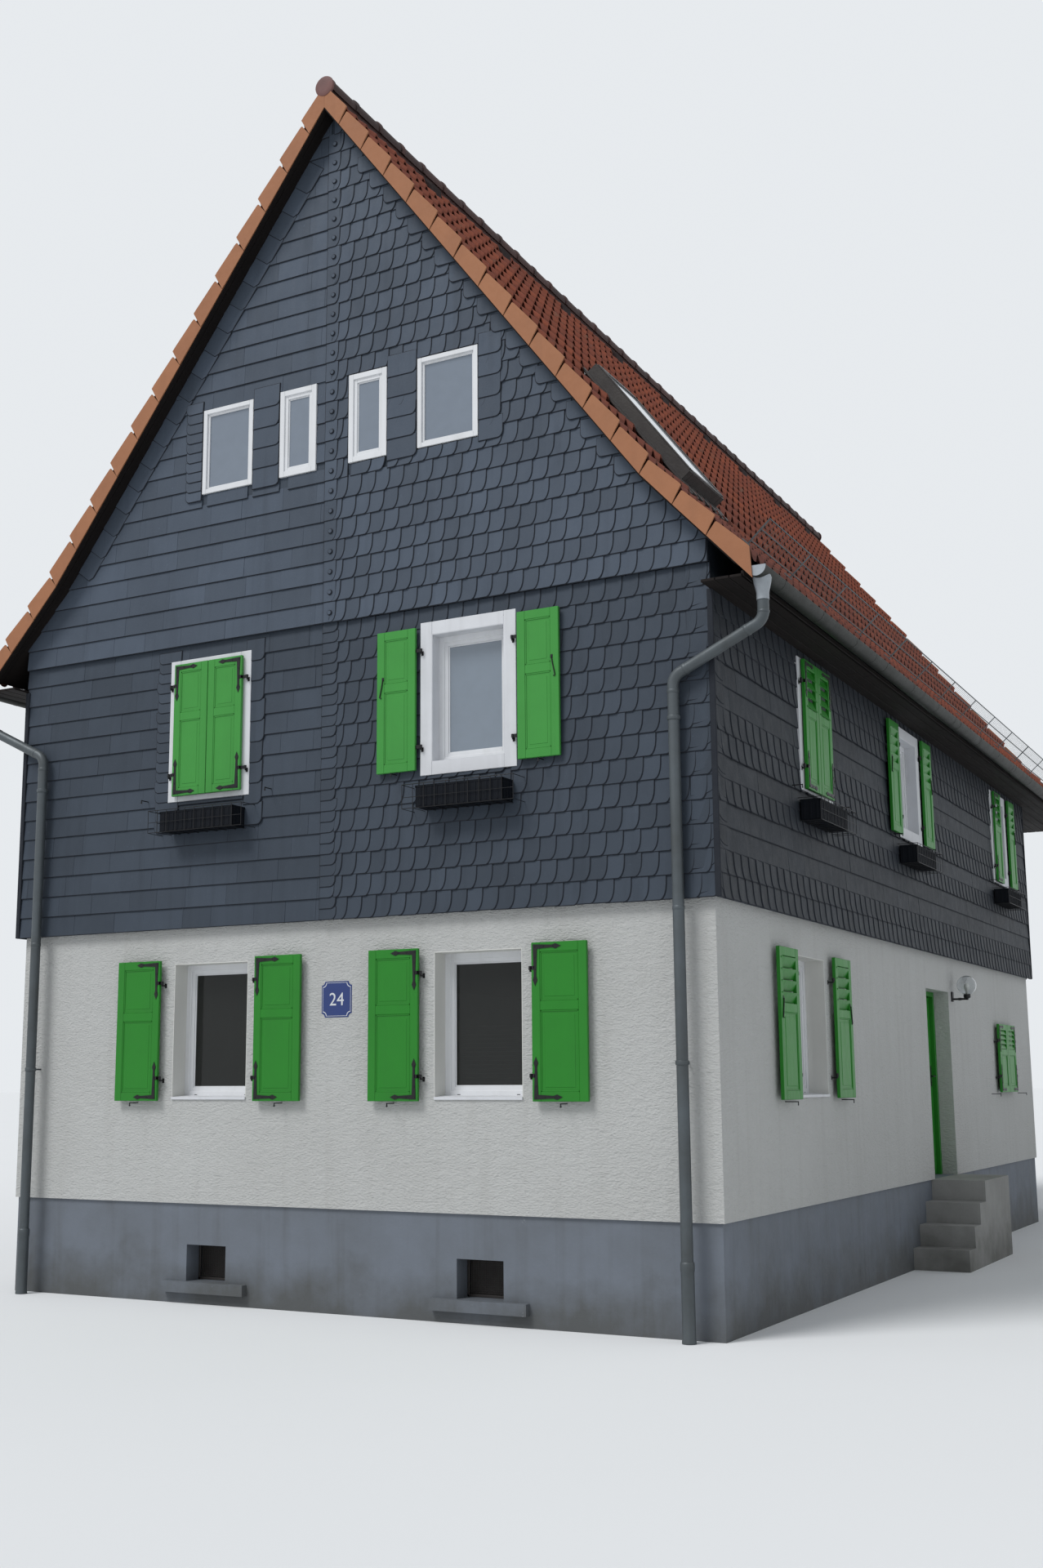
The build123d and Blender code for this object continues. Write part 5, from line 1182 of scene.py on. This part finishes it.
# Shutters: framed leaves with raised panels or louvres, angle bands, and hinge eyes on the pins
leafShape = {"thick": 0.03, "rail": 0.072, "panel": 0.014, "split": 0.62, "bead": 0.011, "louvres": 4,
             "louvreTilt": 67, "inset": 0.195, "eye": 0.0113, "bore": 0.0063}
band = {"margin": 0.015, "arm": 0.24, "upright": 0.32, "wide": 0.036, "thick": 0.004, "tip": 0.075,
        "neck": 0.008, "leaf": 0.045, "stud": 0.0065}
ground = {"width": 0.47, "eye": 0.019, "out": 0.053, "upper": False}
upper = {"width": 0.37, "eye": 0.05, "out": 0.1, "upper": True}
leafPairs = []
for name, number, size, height, louvred, closed in (
        ("ground_left", 0, ground, 1.21, False, (False, False)),
        ("ground_right", 1, ground, 1.21, False, (False, False)),
        ("side_near", 2, ground, 1.21, True, (False, False)),
        ("side_far", 3, ground, 0.82, True, (True, True)),
        ("upper_left", 6, upper, 1.2, False, (True, True)),
        ("upper_right", 7, upper, 1.2, False, (False, False)),
        ("upper_side_near", 8, upper, 1.14, True, (True, True)),
        ("upper_side_mid", 9, upper, 1.14, True, (False, False)),
        ("upper_side_far", 10, upper, 1.14, True, (True, False))):
    wall, middle, sill, _, opening, _, _ = windows[number]
    for hand, inward, shut in (("a", 1, closed[0]), ("b", -1, closed[1])):
        leafPairs.append({**size, "name": f"{name}_{hand}", "wall": wall, "inward": inward, "closed": shut,
                          "axis": middle - inward * (size["width"] + size["eye"] + 0.003),
                          "foot": sill + (opening - height) / 2, "height": height, "louvred": louvred})


def leafPlace(leaf):
    # from the hinge pin along the leaf, up from its foot, and away from the wall
    away = leaf["inward"] if leaf["closed"] else -leaf["inward"]
    base = wallPlace(leaf["wall"])
    return lambda p: base((leaf["axis"] + away * p[0], leaf["foot"] + p[1], leaf["out"] + p[2]))


def makeLeafWood(leaf, low, high, tall, half, lock):
    wood, rail, panel = Shape(leafPlace(leaf)), leafShape["rail"], leafShape["panel"] / 2
    wood.framing(low, high, 0, tall, rail, -half, half, 0.003, (0, lock, tall - rail), 0.0005,
                 (0.0006, 0.0006))
    left, right = low + rail, high - rail
    for foot, head in [(rail, lock)] + ([] if leaf["louvred"] else [(lock + rail, tall - rail)]):
        wood.block((left - 0.002, foot - 0.002, -panel), (right + 0.002, head + 0.002, panel), 0.001)
        wood.block((left + 0.032, foot + 0.032, -0.0095), (right - 0.032, head - 0.032, 0.0095), 0.004)
        for face in (-1, 1):
            wood.border(left, right, foot, head, leafShape["bead"],
                        (face * (panel - 0.001), face * (half - 0.003)), 0.003)
    if leaf["louvred"]:
        foot, head = lock + rail, tall - rail
        tilt = math.radians(leafShape["louvreTilt"]) * (1 if leaf["closed"] else -1)
        gauge = (head - foot) / leafShape["louvres"]
        for k in range(leafShape["louvres"]):
            slat = [(foot + (k + 0.5) * gauge + up * math.cos(tilt) - out * math.sin(tilt),
                     out * math.cos(tilt) + up * math.sin(tilt))
                    for out, up in ((-0.47 * gauge, -0.004), (0.47 * gauge, -0.004),
                                    (0.47 * gauge, 0.004), (-0.47 * gauge, 0.004))]
            wood.loft([[(along, *corner) for corner in slat] for along in (low + rail / 2, high - rail / 2)])
    paint = upperGreenFinish if leaf["upper"] and leaf["wall"] == "front" else greenFinish
    wood.piece("leaf_" + leaf["name"], paint, body="shutter_" + leaf["name"], slot="green_paint",
               replaced=["shutter_" + leaf["name"]])


def makeLeafIron(leaf, low, high, tall, half, lock):
    place = leafPlace(leaf)
    iron = Shape(place)
    side = -1 if (leaf["upper"] or leaf["louvred"]) != leaf["closed"] else 1
    begin, margin, outer = low + band["margin"], band["margin"], side * (half + band["thick"])
    arm, upright, wide, neck = band["arm"], band["upright"], band["wide"], band["neck"]
    # both arms of a band narrow to a neck and end in a pointed leaf
    angle = [(0, 0), (arm - band["tip"], neck), (arm - band["leaf"], -0.002), (arm, wide / 2),
             (arm - band["leaf"], wide + 0.002), (arm - band["tip"], wide - neck), (wide, wide),
             (wide - neck, upright - band["tip"]), (wide + 0.002, upright - band["leaf"]),
             (wide / 2, upright), (-0.002, upright - band["leaf"]), (neck, upright - band["tip"])]
    studs = ((0.015, 0.015), (0.09, 0.015), (0.17, 0.015), (0.015, 0.1), (0.015, 0.19), (0.015, 0.26))
    for end, way in ((0, 1), (tall, -1)):
        iron.prism([(begin + x, end + way * (margin + y)) for x, y in angle], side * (half - 0.001), outer)
        for x, y in studs:
            iron.prism(circle(begin + x, end + way * (margin + y), band["stud"], 8), outer - side * 0.001,
                       outer + side * 0.0025)
    bore, eye = leafShape["bore"], leafShape["eye"]
    for height in (leafShape["inset"], tall - leafShape["inset"]):
        iron.block((0.009, height - 0.015, -0.002), (low + 0.03, height + 0.015, 0.002), 0.001)
        iron.block((low, height - 0.0148, side * 0.002), (low + 0.006, height + 0.0148, outer), 0.001)
        iron.block((low, height - 0.0148, side * half), (begin + 0.012, height + 0.0148, outer), 0.001)
        iron.place = uprightIn(place)
        iron.lathe((0, 0, height), [(bore, -0.015), (eye - 0.0015, -0.015), (eye, -0.0135), (eye, 0.0135),
                                    (eye - 0.0015, 0.015), (bore, 0.015), (bore, -0.015)], 12)
        iron.place = place
    if side < 0:
        # a slanting hook on the free stile of the face without bands
        iron.tube([(high - x, lock + up, half + 0.005)
                   for x, up in ((0.06, 0.11), (0.05, 0.05), (0.03, -0.04), (0.045, -0.045))], 0.005, 8)
        iron.block((high - 0.07, lock + 0.1, half - 0.001), (high - 0.05, lock + 0.13, half + 0.003), 0.001)
    iron.piece("bands_" + leaf["name"], ironFinish, body="shutter_" + leaf["name"], slot="black_iron")


for leaf in leafPairs:
    room = leaf["height"] - 3 * leafShape["rail"]
    sizes = (leaf["eye"], leaf["eye"] + leaf["width"], leaf["height"], leafShape["thick"] / 2,
             leafShape["rail"] + room * leafShape["split"])
    makeLeafWood(leaf, *sizes)
    makeLeafIron(leaf, *sizes)

# Pins on short arms for the leaves, and turn-down holders below them
pintles = Shape()
for leaf in leafPairs:
    wallFace = house["slateOut"] if leaf["upper"] else 0.0
    armFace = cover if leaf["upper"] else 0.0
    base, axis, out = wallPlace(leaf["wall"]), leaf["axis"], leaf["out"]
    for height in (leafShape["inset"], leaf["height"] - leafShape["inset"]):
        foot = leaf["foot"] + height - 0.0293
        pintles.place = base
        pintles.block((axis - 0.006, foot, armFace), (axis + 0.006, foot + 0.014, out), 0.002)
        pintles.block((axis - 0.011, foot - 0.012, armFace),
                      (axis + 0.011, foot + 0.026, armFace + 0.004), 0.0015)
        pintles.place = uprightIn(base)
        pintles.lathe((axis, out, foot), [(0.0, 0.0), (0.0055, 0.0), (0.0055, 0.04), (0.004, 0.0443),
                                          (0.0, 0.0443)], 10)
    pintles.place = base
    along, top = axis - leaf["inward"] * (leaf["eye"] + leaf["width"] * 0.55), leaf["foot"] - 0.012
    pintles.block((along - 0.004, top - 0.008, wallFace), (along + 0.004, top, out + 0.06), 0.0015)
    hook = [(along + x, top - drop) for x, drop in ((-0.004, 0), (-0.004, 0.02), (-0.009, 0.027), (0, 0.034),
                                                    (0.009, 0.027), (0.004, 0.02), (0.004, 0))]
    pintles.prism(hook, out + 0.053, out + 0.059)
pintles.piece("pinsAndHolders", ironFinish, slot="black_iron", replaced=["shutter_pintles"], smooth=40)
print("shutters hung")

# Flower boxes with rolled rims and ribs, standing in wire baskets
box = {"long": 0.8, "deep": 0.18, "tall": 0.18, "gap": 0.02, "wall": 0.006, "ribs": 15,
       "shift": {"front": 0.01, "right": -0.1}, "drop": {"front": 0.22, "right": 0.205}}
basket = {"long": 1.02, "deep": 0.206, "rim": 0.016, "wire": 0.003, "posts": 11}
troughs, wire = Shape(), Shape()
for where, middle, sill, width, height, out, style in windows:
    if style != "upper" or where == "rear":
        continue
    place = wallPlace(where)
    top, near = sill - box["drop"][where], house["slateOut"] + box["gap"]
    low, far, foot = middle + box["shift"][where] - box["long"] / 2, near + box["deep"], top - box["tall"]
    high = low + box["long"]
    troughs.place = uprightIn(place)
    troughs.block((low + 0.004, near + 0.004, foot), (high - 0.004, far - 0.004, foot + box["wall"]), 0.002)
    troughs.border(low + 0.004, high - 0.004, near + 0.004, far - 0.004, box["wall"], (foot, top), 0.002)
    troughs.border(low, high, near, far, 0.016, (top - 0.02, top), 0.004, 0.014)
    troughs.place = place
    for k in range(box["ribs"]):
        along = low + 0.05 + k * (box["long"] - 0.1) / (box["ribs"] - 1)
        troughs.block((along - 0.009, foot + 0.012, far - 0.0055),
                      (along + 0.009, top - 0.018, far - 0.0005), 0.0022)
    for k in range(3):
        out = near + 0.035 + k * 0.055
        for end, way in ((low, 1), (high, -1)):
            troughs.block((end + way * 0.0055, foot + 0.012, out - 0.009),
                          (end + way * 0.0005, top - 0.018, out + 0.009), 0.0022)
    wire.place = place
    r = basket["wire"]
    left, right = middle - basket["long"] / 2 + r, middle + basket["long"] / 2 - r
    base, rim = foot - r, top + basket["rim"] - r
    back, face = house["slateOut"] + r, house["slateOut"] + basket["deep"] + r
    for k in range(basket["posts"]):
        along = left + k * (right - left) / (basket["posts"] - 1)
        wire.tube([(along, base, back), (along, base, face), (along, rim, face)], r * 0.95, 6)
    for up, out, radius in ((base, face, r), (base, back, r), (rim, face, r), (rim, back, r),
                            (base + 0.09, face, r * 0.8)):
        wire.tube([(along, up, out) for along in (left, middle, right)], radius, 6)
    hanger = width / 2 + surround["face"] - 2 * r
    for ends in ([(left, rim, back), (left, rim, face)], [(left, base, back), (left, rim, back)],
                 [(right, rim, back), (right, rim, face)], [(right, base, back), (right, rim, back)],
                 [(middle - hanger, base, back), (middle - hanger, sill - surround["face"], back)],
                 [(middle + hanger, base, back), (middle + hanger, sill - surround["face"], back)]):
        wire.tube(ends, r, 6)
troughs.piece("flowerBoxes", plasticFinish, slot="black_plastic", replaced=["flower_boxes"])
wire.piece("wireBaskets", ironFinish, slot="black_iron", replaced=["box_baskets"], smooth=40)

# Entrance: framed leaf with two panels, its frame, hinges and lever handles
door = {"x": 3.24, "low": -0.81, "high": 0.18, "head": 2.785, "leafIn": 3.15, "leafOut": 3.195,
        "leafLow": -0.754, "leafHigh": 0.124, "foot": 0.828, "top": 2.729, "rail": 0.12, "jamb": 0.05,
        "handleY": 0.064, "handleZ": 1.87}


def inEntrance(p):
    # along the wall, up, and out of it
    return Vector((p[2], p[0], p[1]))


leafWood, casing, doorIron, doorPins = Shape(inEntrance), Shape(inEntrance), Shape(), Shape()
leafIn, leafOut, rail = door["leafIn"], door["leafOut"], door["rail"]
middle = door["foot"] + rail + (door["top"] - door["foot"] - 3 * rail) / 2
leafWood.framing(door["leafLow"], door["leafHigh"], door["foot"], door["top"], rail, leafIn, leafOut, 0.004,
                 (door["foot"], middle, door["top"] - rail), 0.001, (0.0006, 0.0006))
left, right = door["leafLow"] + rail, door["leafHigh"] - rail
for low, high in ((door["foot"] + rail, middle), (middle + rail, door["top"] - rail)):
    leafWood.block((left - 0.002, low - 0.002, leafIn + 0.01),
                   (right + 0.002, high + 0.002, leafOut - 0.01), 0.001)
    leafWood.block((left + 0.05, low + 0.05, leafIn + 0.003),
                   (right - 0.05, high - 0.05, leafOut - 0.003), 0.006)
leafWood.piece("entranceLeaf", greenFinish, body="entrance_door", slot="green_paint",
               replaced=["entrance_door"])
y, z = door["handleY"], door["handleZ"]
for face, out in ((leafOut, 1), (leafIn, -1)):
    doorIron.block((face, y - 0.02, z - 0.11), (face + out * 0.004, y + 0.02, z + 0.11), 0.0015)
    lever = roundedPath([(face, y, z), (face + out * 0.05, y, z), (face + out * 0.05, y - 0.12, z)], 0.014)
    doorIron.tube(lever, 0.0078)
    doorIron.tube([(face, y, z - 0.07), (face + out * 0.008, y, z - 0.07)], 0.009, 12)
hingeX, hingeY = leafIn - 0.01, door["leafLow"] - 0.003
for foot in (door["foot"] + 0.26, door["top"] - 0.3):
    doorIron.lathe((hingeX, hingeY, foot),
                   [(0.0043, 0), (0.009, 0), (0.009, 0.04), (0.0043, 0.04), (0.0043, 0)], 14)
    doorIron.block((leafIn - 0.003, door["leafLow"], foot),
                   (leafIn, door["leafLow"] + 0.032, foot + 0.04), 0.001)
    doorIron.block((hingeX, hingeY + 0.004, foot + 0.001), (leafIn, hingeY + 0.009, foot + 0.039), 0.001)
    doorPins.lathe((hingeX, hingeY, foot - 0.0003),
                   [(0.0, -0.04), (0.009, -0.04), (0.009, 0.0), (0.0038, 0.0), (0.0038, 0.038),
                    (0.0, 0.04)], 14)
    doorPins.block((hingeX, hingeY - 0.032, foot - 0.04),
                   (leafIn + 0.002, hingeY - 0.002, foot - 0.001), 0.001)
doorIron.piece("doorFittings", ironFinish, body="entrance_door", slot="black_iron", smooth=40)
casing.framing(door["low"], door["high"], house["plinth"], door["head"], door["jamb"], leafIn, door["x"],
               0.004, [door["head"] - door["jamb"]], thin=(0.0, 0.0006))
casing.piece("doorFrame", greenFinish, slot="green_paint", replaced=["door_frame"])
doorPins.piece("doorHingePins", ironFinish, slot="black_iron", smooth=40)

# Wall lamp: black plate, arm and ribbed cup, a clear globe with a bulb in it
lamp = {"y": 0.34, "plateZ": 2.74, "armZ": 2.7125, "arm": 0.0108, "collar": 0.015, "globeX": 3.57,
        "globeZ": 2.8625, "radius": 0.106, "wall": 0.003, "open": 21}
lampShape, globe, bulb = Shape(), Shape(), Shape()
y, z = lamp["y"], lamp["armZ"]
lampShape.block((3.4, y - 0.035, lamp["plateZ"] - 0.055), (3.418, y + 0.035, lamp["plateZ"] + 0.055), 0.006)
lampShape.tube([(x, y, z) for x in (3.415, 3.48, 3.581)], lamp["arm"], 12)
lampShape.tube([(x, y, z) for x in (3.47, 3.475, 3.505, 3.51)],
               [lamp["arm"], lamp["collar"], lamp["collar"], lamp["arm"]], 12)
lampShape.lathe((lamp["globeX"], y, z),
                [(0.0, -0.011), (0.012, -0.011), (0.016, 0.004), (0.034, 0.012), (0.038, 0.02), (0.038, 0.05),
                 (0.035, 0.0505), (0.03, 0.045), (0.02, 0.045), (0.0, 0.045)], 24)
lampShape.piece("wallLamp", ironFinish, slot="black_iron", replaced=["wall_lamp"], smooth=35)
turns = [math.radians(lamp["open"] + (180 - lamp["open"]) * i / 20) for i in range(20)]
outer, inner = ([(radius * math.sin(a), -radius * math.cos(a)) for a in turns] + [(0.0005, radius)]
                for radius in (lamp["radius"], lamp["radius"] - lamp["wall"]))
globe.lathe((lamp["globeX"], y, lamp["globeZ"]), outer + inner[::-1] + outer[:1], 32)
globe.piece("lampGlobe", globeGlass, slot="clear_glass", replaced=["lamp_globe"], smooth=60)
bulb.lathe((lamp["globeX"], y, lamp["globeZ"]),
           [(0.0, -0.1), (0.013, -0.1), (0.013, -0.075), (0.016, -0.06), (0.027, -0.035), (0.03, -0.015),
            (0.027, 0.004), (0.018, 0.016), (0.0, 0.021)])
bulb.piece("lampBulb", bulbFinish, slot="white_frame", smooth=50)

# Enamel plate: notched corners, a white line near the edge, and the digits
plate = {"x": 0.067, "z": 2.505, "half": 0.1475, "notch": 0.032, "thick": 0.0038, "digits": 0.15}


def notched(half, notch):
    corners = ((1, 1, 270), (-1, 1, 0), (-1, -1, 90), (1, -1, 180))
    return [(plate["x"] + x * half + notch * math.cos(math.radians(start - 15 * k)),
             plate["z"] + z * half + notch * math.sin(math.radians(start - 15 * k)))
            for x, z, start in corners for k in range(7)]


plateShape, plateLine, digits = (Shape(wallPlace("front")) for _ in range(3))
plateShape.prism(notched(plate["half"], plate["notch"]), 0.0, plate["thick"] - 0.001)
plateShape.piece("numberPlate", enamelFinish, slot="blue_enamel", replaced=["number_plate"])
back, front = plate["thick"] - 0.0014, plate["thick"] - 0.0003
outerLine, innerLine = notched(0.1375, 0.034), notched(0.1345, 0.0365)
sections = ((outerLine, back), (outerLine, front), (innerLine, front), (innerLine, back), (outerLine, back))
plateLine.loft([[(*p, out) for p in line] for line, out in sections], None)
plateLine.piece("plateLine", lineFinish, slot="blue_enamel", weld=1e-6)
letters = bpy.data.curves.new("plateDigits", "FONT")
letters.body, letters.size, letters.extrude, letters.align_x = "24", plate["digits"], 0.0004, "CENTER"
letters.resolution_u = 4
pattern = bpy.data.objects.new("digitPattern", letters)
bpy.context.scene.collection.objects.link(pattern)
bpy.context.view_layer.update()
digitMesh = bpy.data.meshes.new_from_object(pattern.evaluated_get(bpy.context.evaluated_depsgraph_get()))
bpy.data.objects.remove(pattern)
digits.add([(plate["x"] + v.co.x, plate["z"] - 0.05 + v.co.y, plate["thick"] - 0.0008 + v.co.z)
            for v in digitMesh.vertices], [list(polygon.vertices) for polygon in digitMesh.polygons])
digits.piece("plateDigits", lineFinish, slot="blue_enamel")

# Cellar vents: a frame, crossing bars and a dark sheet behind them that paints the shade in the opening
grille = {"half": 0.205, "foot": 0.18, "head": 0.48, "frame": 0.02, "standing": 23, "level": 16, "bar": 0.002}
ventGrille = Shape(wallPlace("front"))
foot, head, rim, bar = grille["foot"], grille["head"], grille["frame"], grille["bar"]
for middle in (windows[0][1], windows[1][1]):
    low, high = middle - grille["half"], middle + grille["half"]
    ventGrille.border(low, high, foot, head, rim, (-0.2, -0.185), 0.003)
    for k in range(1, grille["standing"]):
        along = low + rim + k * (high - low - 2 * rim) / grille["standing"]
        ventGrille.block((along - bar, foot + 0.018, -0.194), (along + bar, head - 0.018, -0.19), 0.001)
    for k in range(1, grille["level"]):
        z = foot + rim + k * (head - foot - 2 * rim) / grille["level"]
        ventGrille.block((low + 0.018, z - bar, -0.196), (high - 0.018, z + bar, -0.192), 0.001)
    # painted shade: a dark sheet deep behind the bars where the vent opening is in shade
    ventGrille.block((low + 0.01, foot + 0.01, -0.24), (high - 0.01, head - 0.01, -0.225), 0.002)
ventGrille.piece("cellarGrilles", leadFinish, slot="zinc")
print("fittings done")

# Finishes for the solids that keep their own shape
kept = {"plinth": plinthFinish, "ground_wall": renderFinish, "wall_over": renderFinish,
        "ground_floor": floorFinish, "upper_floor": floorFinish, "attic": floorFinish,
        "upper_wall": slateFinish, "gable": slateFinish, "roof_deck": boardFinish, "door_steps": stepFinish}
for name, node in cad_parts.items():
    for start, finish in kept.items():
        if name.startswith(start):
            for materialSlot in node.material_slots:
                materialSlot.material = finish
print("finishes given")

# Stage: pale floor and backdrop, soft light from the front left, and the camera
stage = {"sun": 1.9, "sunAngle": 22.0, "sunFrom": (-0.42, -0.8, 1.15), "sky": 0.56,
         "ambient": (0.92, 0.96, 1.0), "backdrop": (0.84, 0.87, 0.9), "backdropLight": 0.95,
         "floorTone": (0.78, 0.79, 0.8), "floor": -0.0005}
floorMaterial, floorTree, floorShader = newFinish("stageFloorFinish", 0.9, 0.0, 0.2)
floorTone = mixTone(floorTree, noise(floorTree, position(floorTree), 0.4, 3.0), stage["floorTone"],
                    tuple(0.98 * c for c in stage["floorTone"]))
floorTree.links.new(floorTone, floorShader.inputs["Base Color"])
floorShape = Shape()
floorShape.loft([[(*p, stage["floor"]) for p in circle(0, 0, radius, 48)]
                 for radius in (12.0, 25.0, 45.0, 70.0, 140.0, 400.0)], "first")
floorMesh = bpy.data.meshes.new("stageFloor")
floorMesh.from_pydata(floorShape.points, [], floorShape.faces)
floorMesh.materials.append(floorMaterial)
floorObject = bpy.data.objects.new("stageFloor", floorMesh)
bpy.context.scene.collection.objects.link(floorObject)

# the sky lights the house with one tone and shows another to the camera, in glass and in gloss
world = bpy.data.worlds.new("paleSky")
bpy.context.scene.world = world
world.use_nodes = True
sky = world.node_tree
sky.nodes.clear()
rays = addNode(sky, "ShaderNodeLightPath").outputs
through = reckon(sky, "MAXIMUM", rays["Is Glossy Ray"], rays["Is Transmission Ray"])
seen = reckon(sky, "MAXIMUM", rays["Is Camera Ray"], through)
lightSky = addNode(sky, "ShaderNodeBackground", {"Color": (*stage["ambient"], 1), "Strength": stage["sky"]})
paleSky = addNode(sky, "ShaderNodeBackground", {"Color": (*stage["backdrop"], 1),
                                                "Strength": stage["backdropLight"]})
mixSky = addNode(sky, "ShaderNodeMixShader", {0: seen, 1: lightSky.outputs[0], 2: paleSky.outputs[0]})
addNode(sky, "ShaderNodeOutputWorld", {"Surface": mixSky.outputs[0]})

sunData = bpy.data.lights.new("softSun", "SUN")
sunData.energy = stage["sun"]
sunData.angle = math.radians(stage["sunAngle"])
sunLamp = bpy.data.objects.new("softSun", sunData)
sunLamp.rotation_euler = Vector(stage["sunFrom"]).to_track_quat("Z", "Y").to_euler()
bpy.context.scene.collection.objects.link(sunLamp)

view = {"place": (7.7436, -18.466, 1.8207), "turn": 0.5014, "lift": 0.1741, "roll": -0.0044,
        "lens": 38.069, "sensor": 36, "shift": (0.02597, 0.00454), "far": 900}
cameraData = bpy.data.cameras.new("streetView")
cameraData.lens = view["lens"]
cameraData.sensor_width = view["sensor"]
cameraData.shift_x, cameraData.shift_y = view["shift"]
cameraData.clip_end = view["far"]
camera = bpy.data.objects.new("streetView", cameraData)
camera.matrix_world = (Matrix.Translation(view["place"]) @ Matrix.Rotation(view["turn"], 4, "Z")
                       @ Matrix.Rotation(math.pi / 2 + view["lift"], 4, "X")
                       @ Matrix.Rotation(view["roll"], 4, "Z"))
bpy.context.scene.collection.objects.link(camera)
bpy.context.scene.camera = camera
bpy.context.scene.view_settings.view_transform = "Standard"
print("stage set")

bpy.context.view_layer.update()
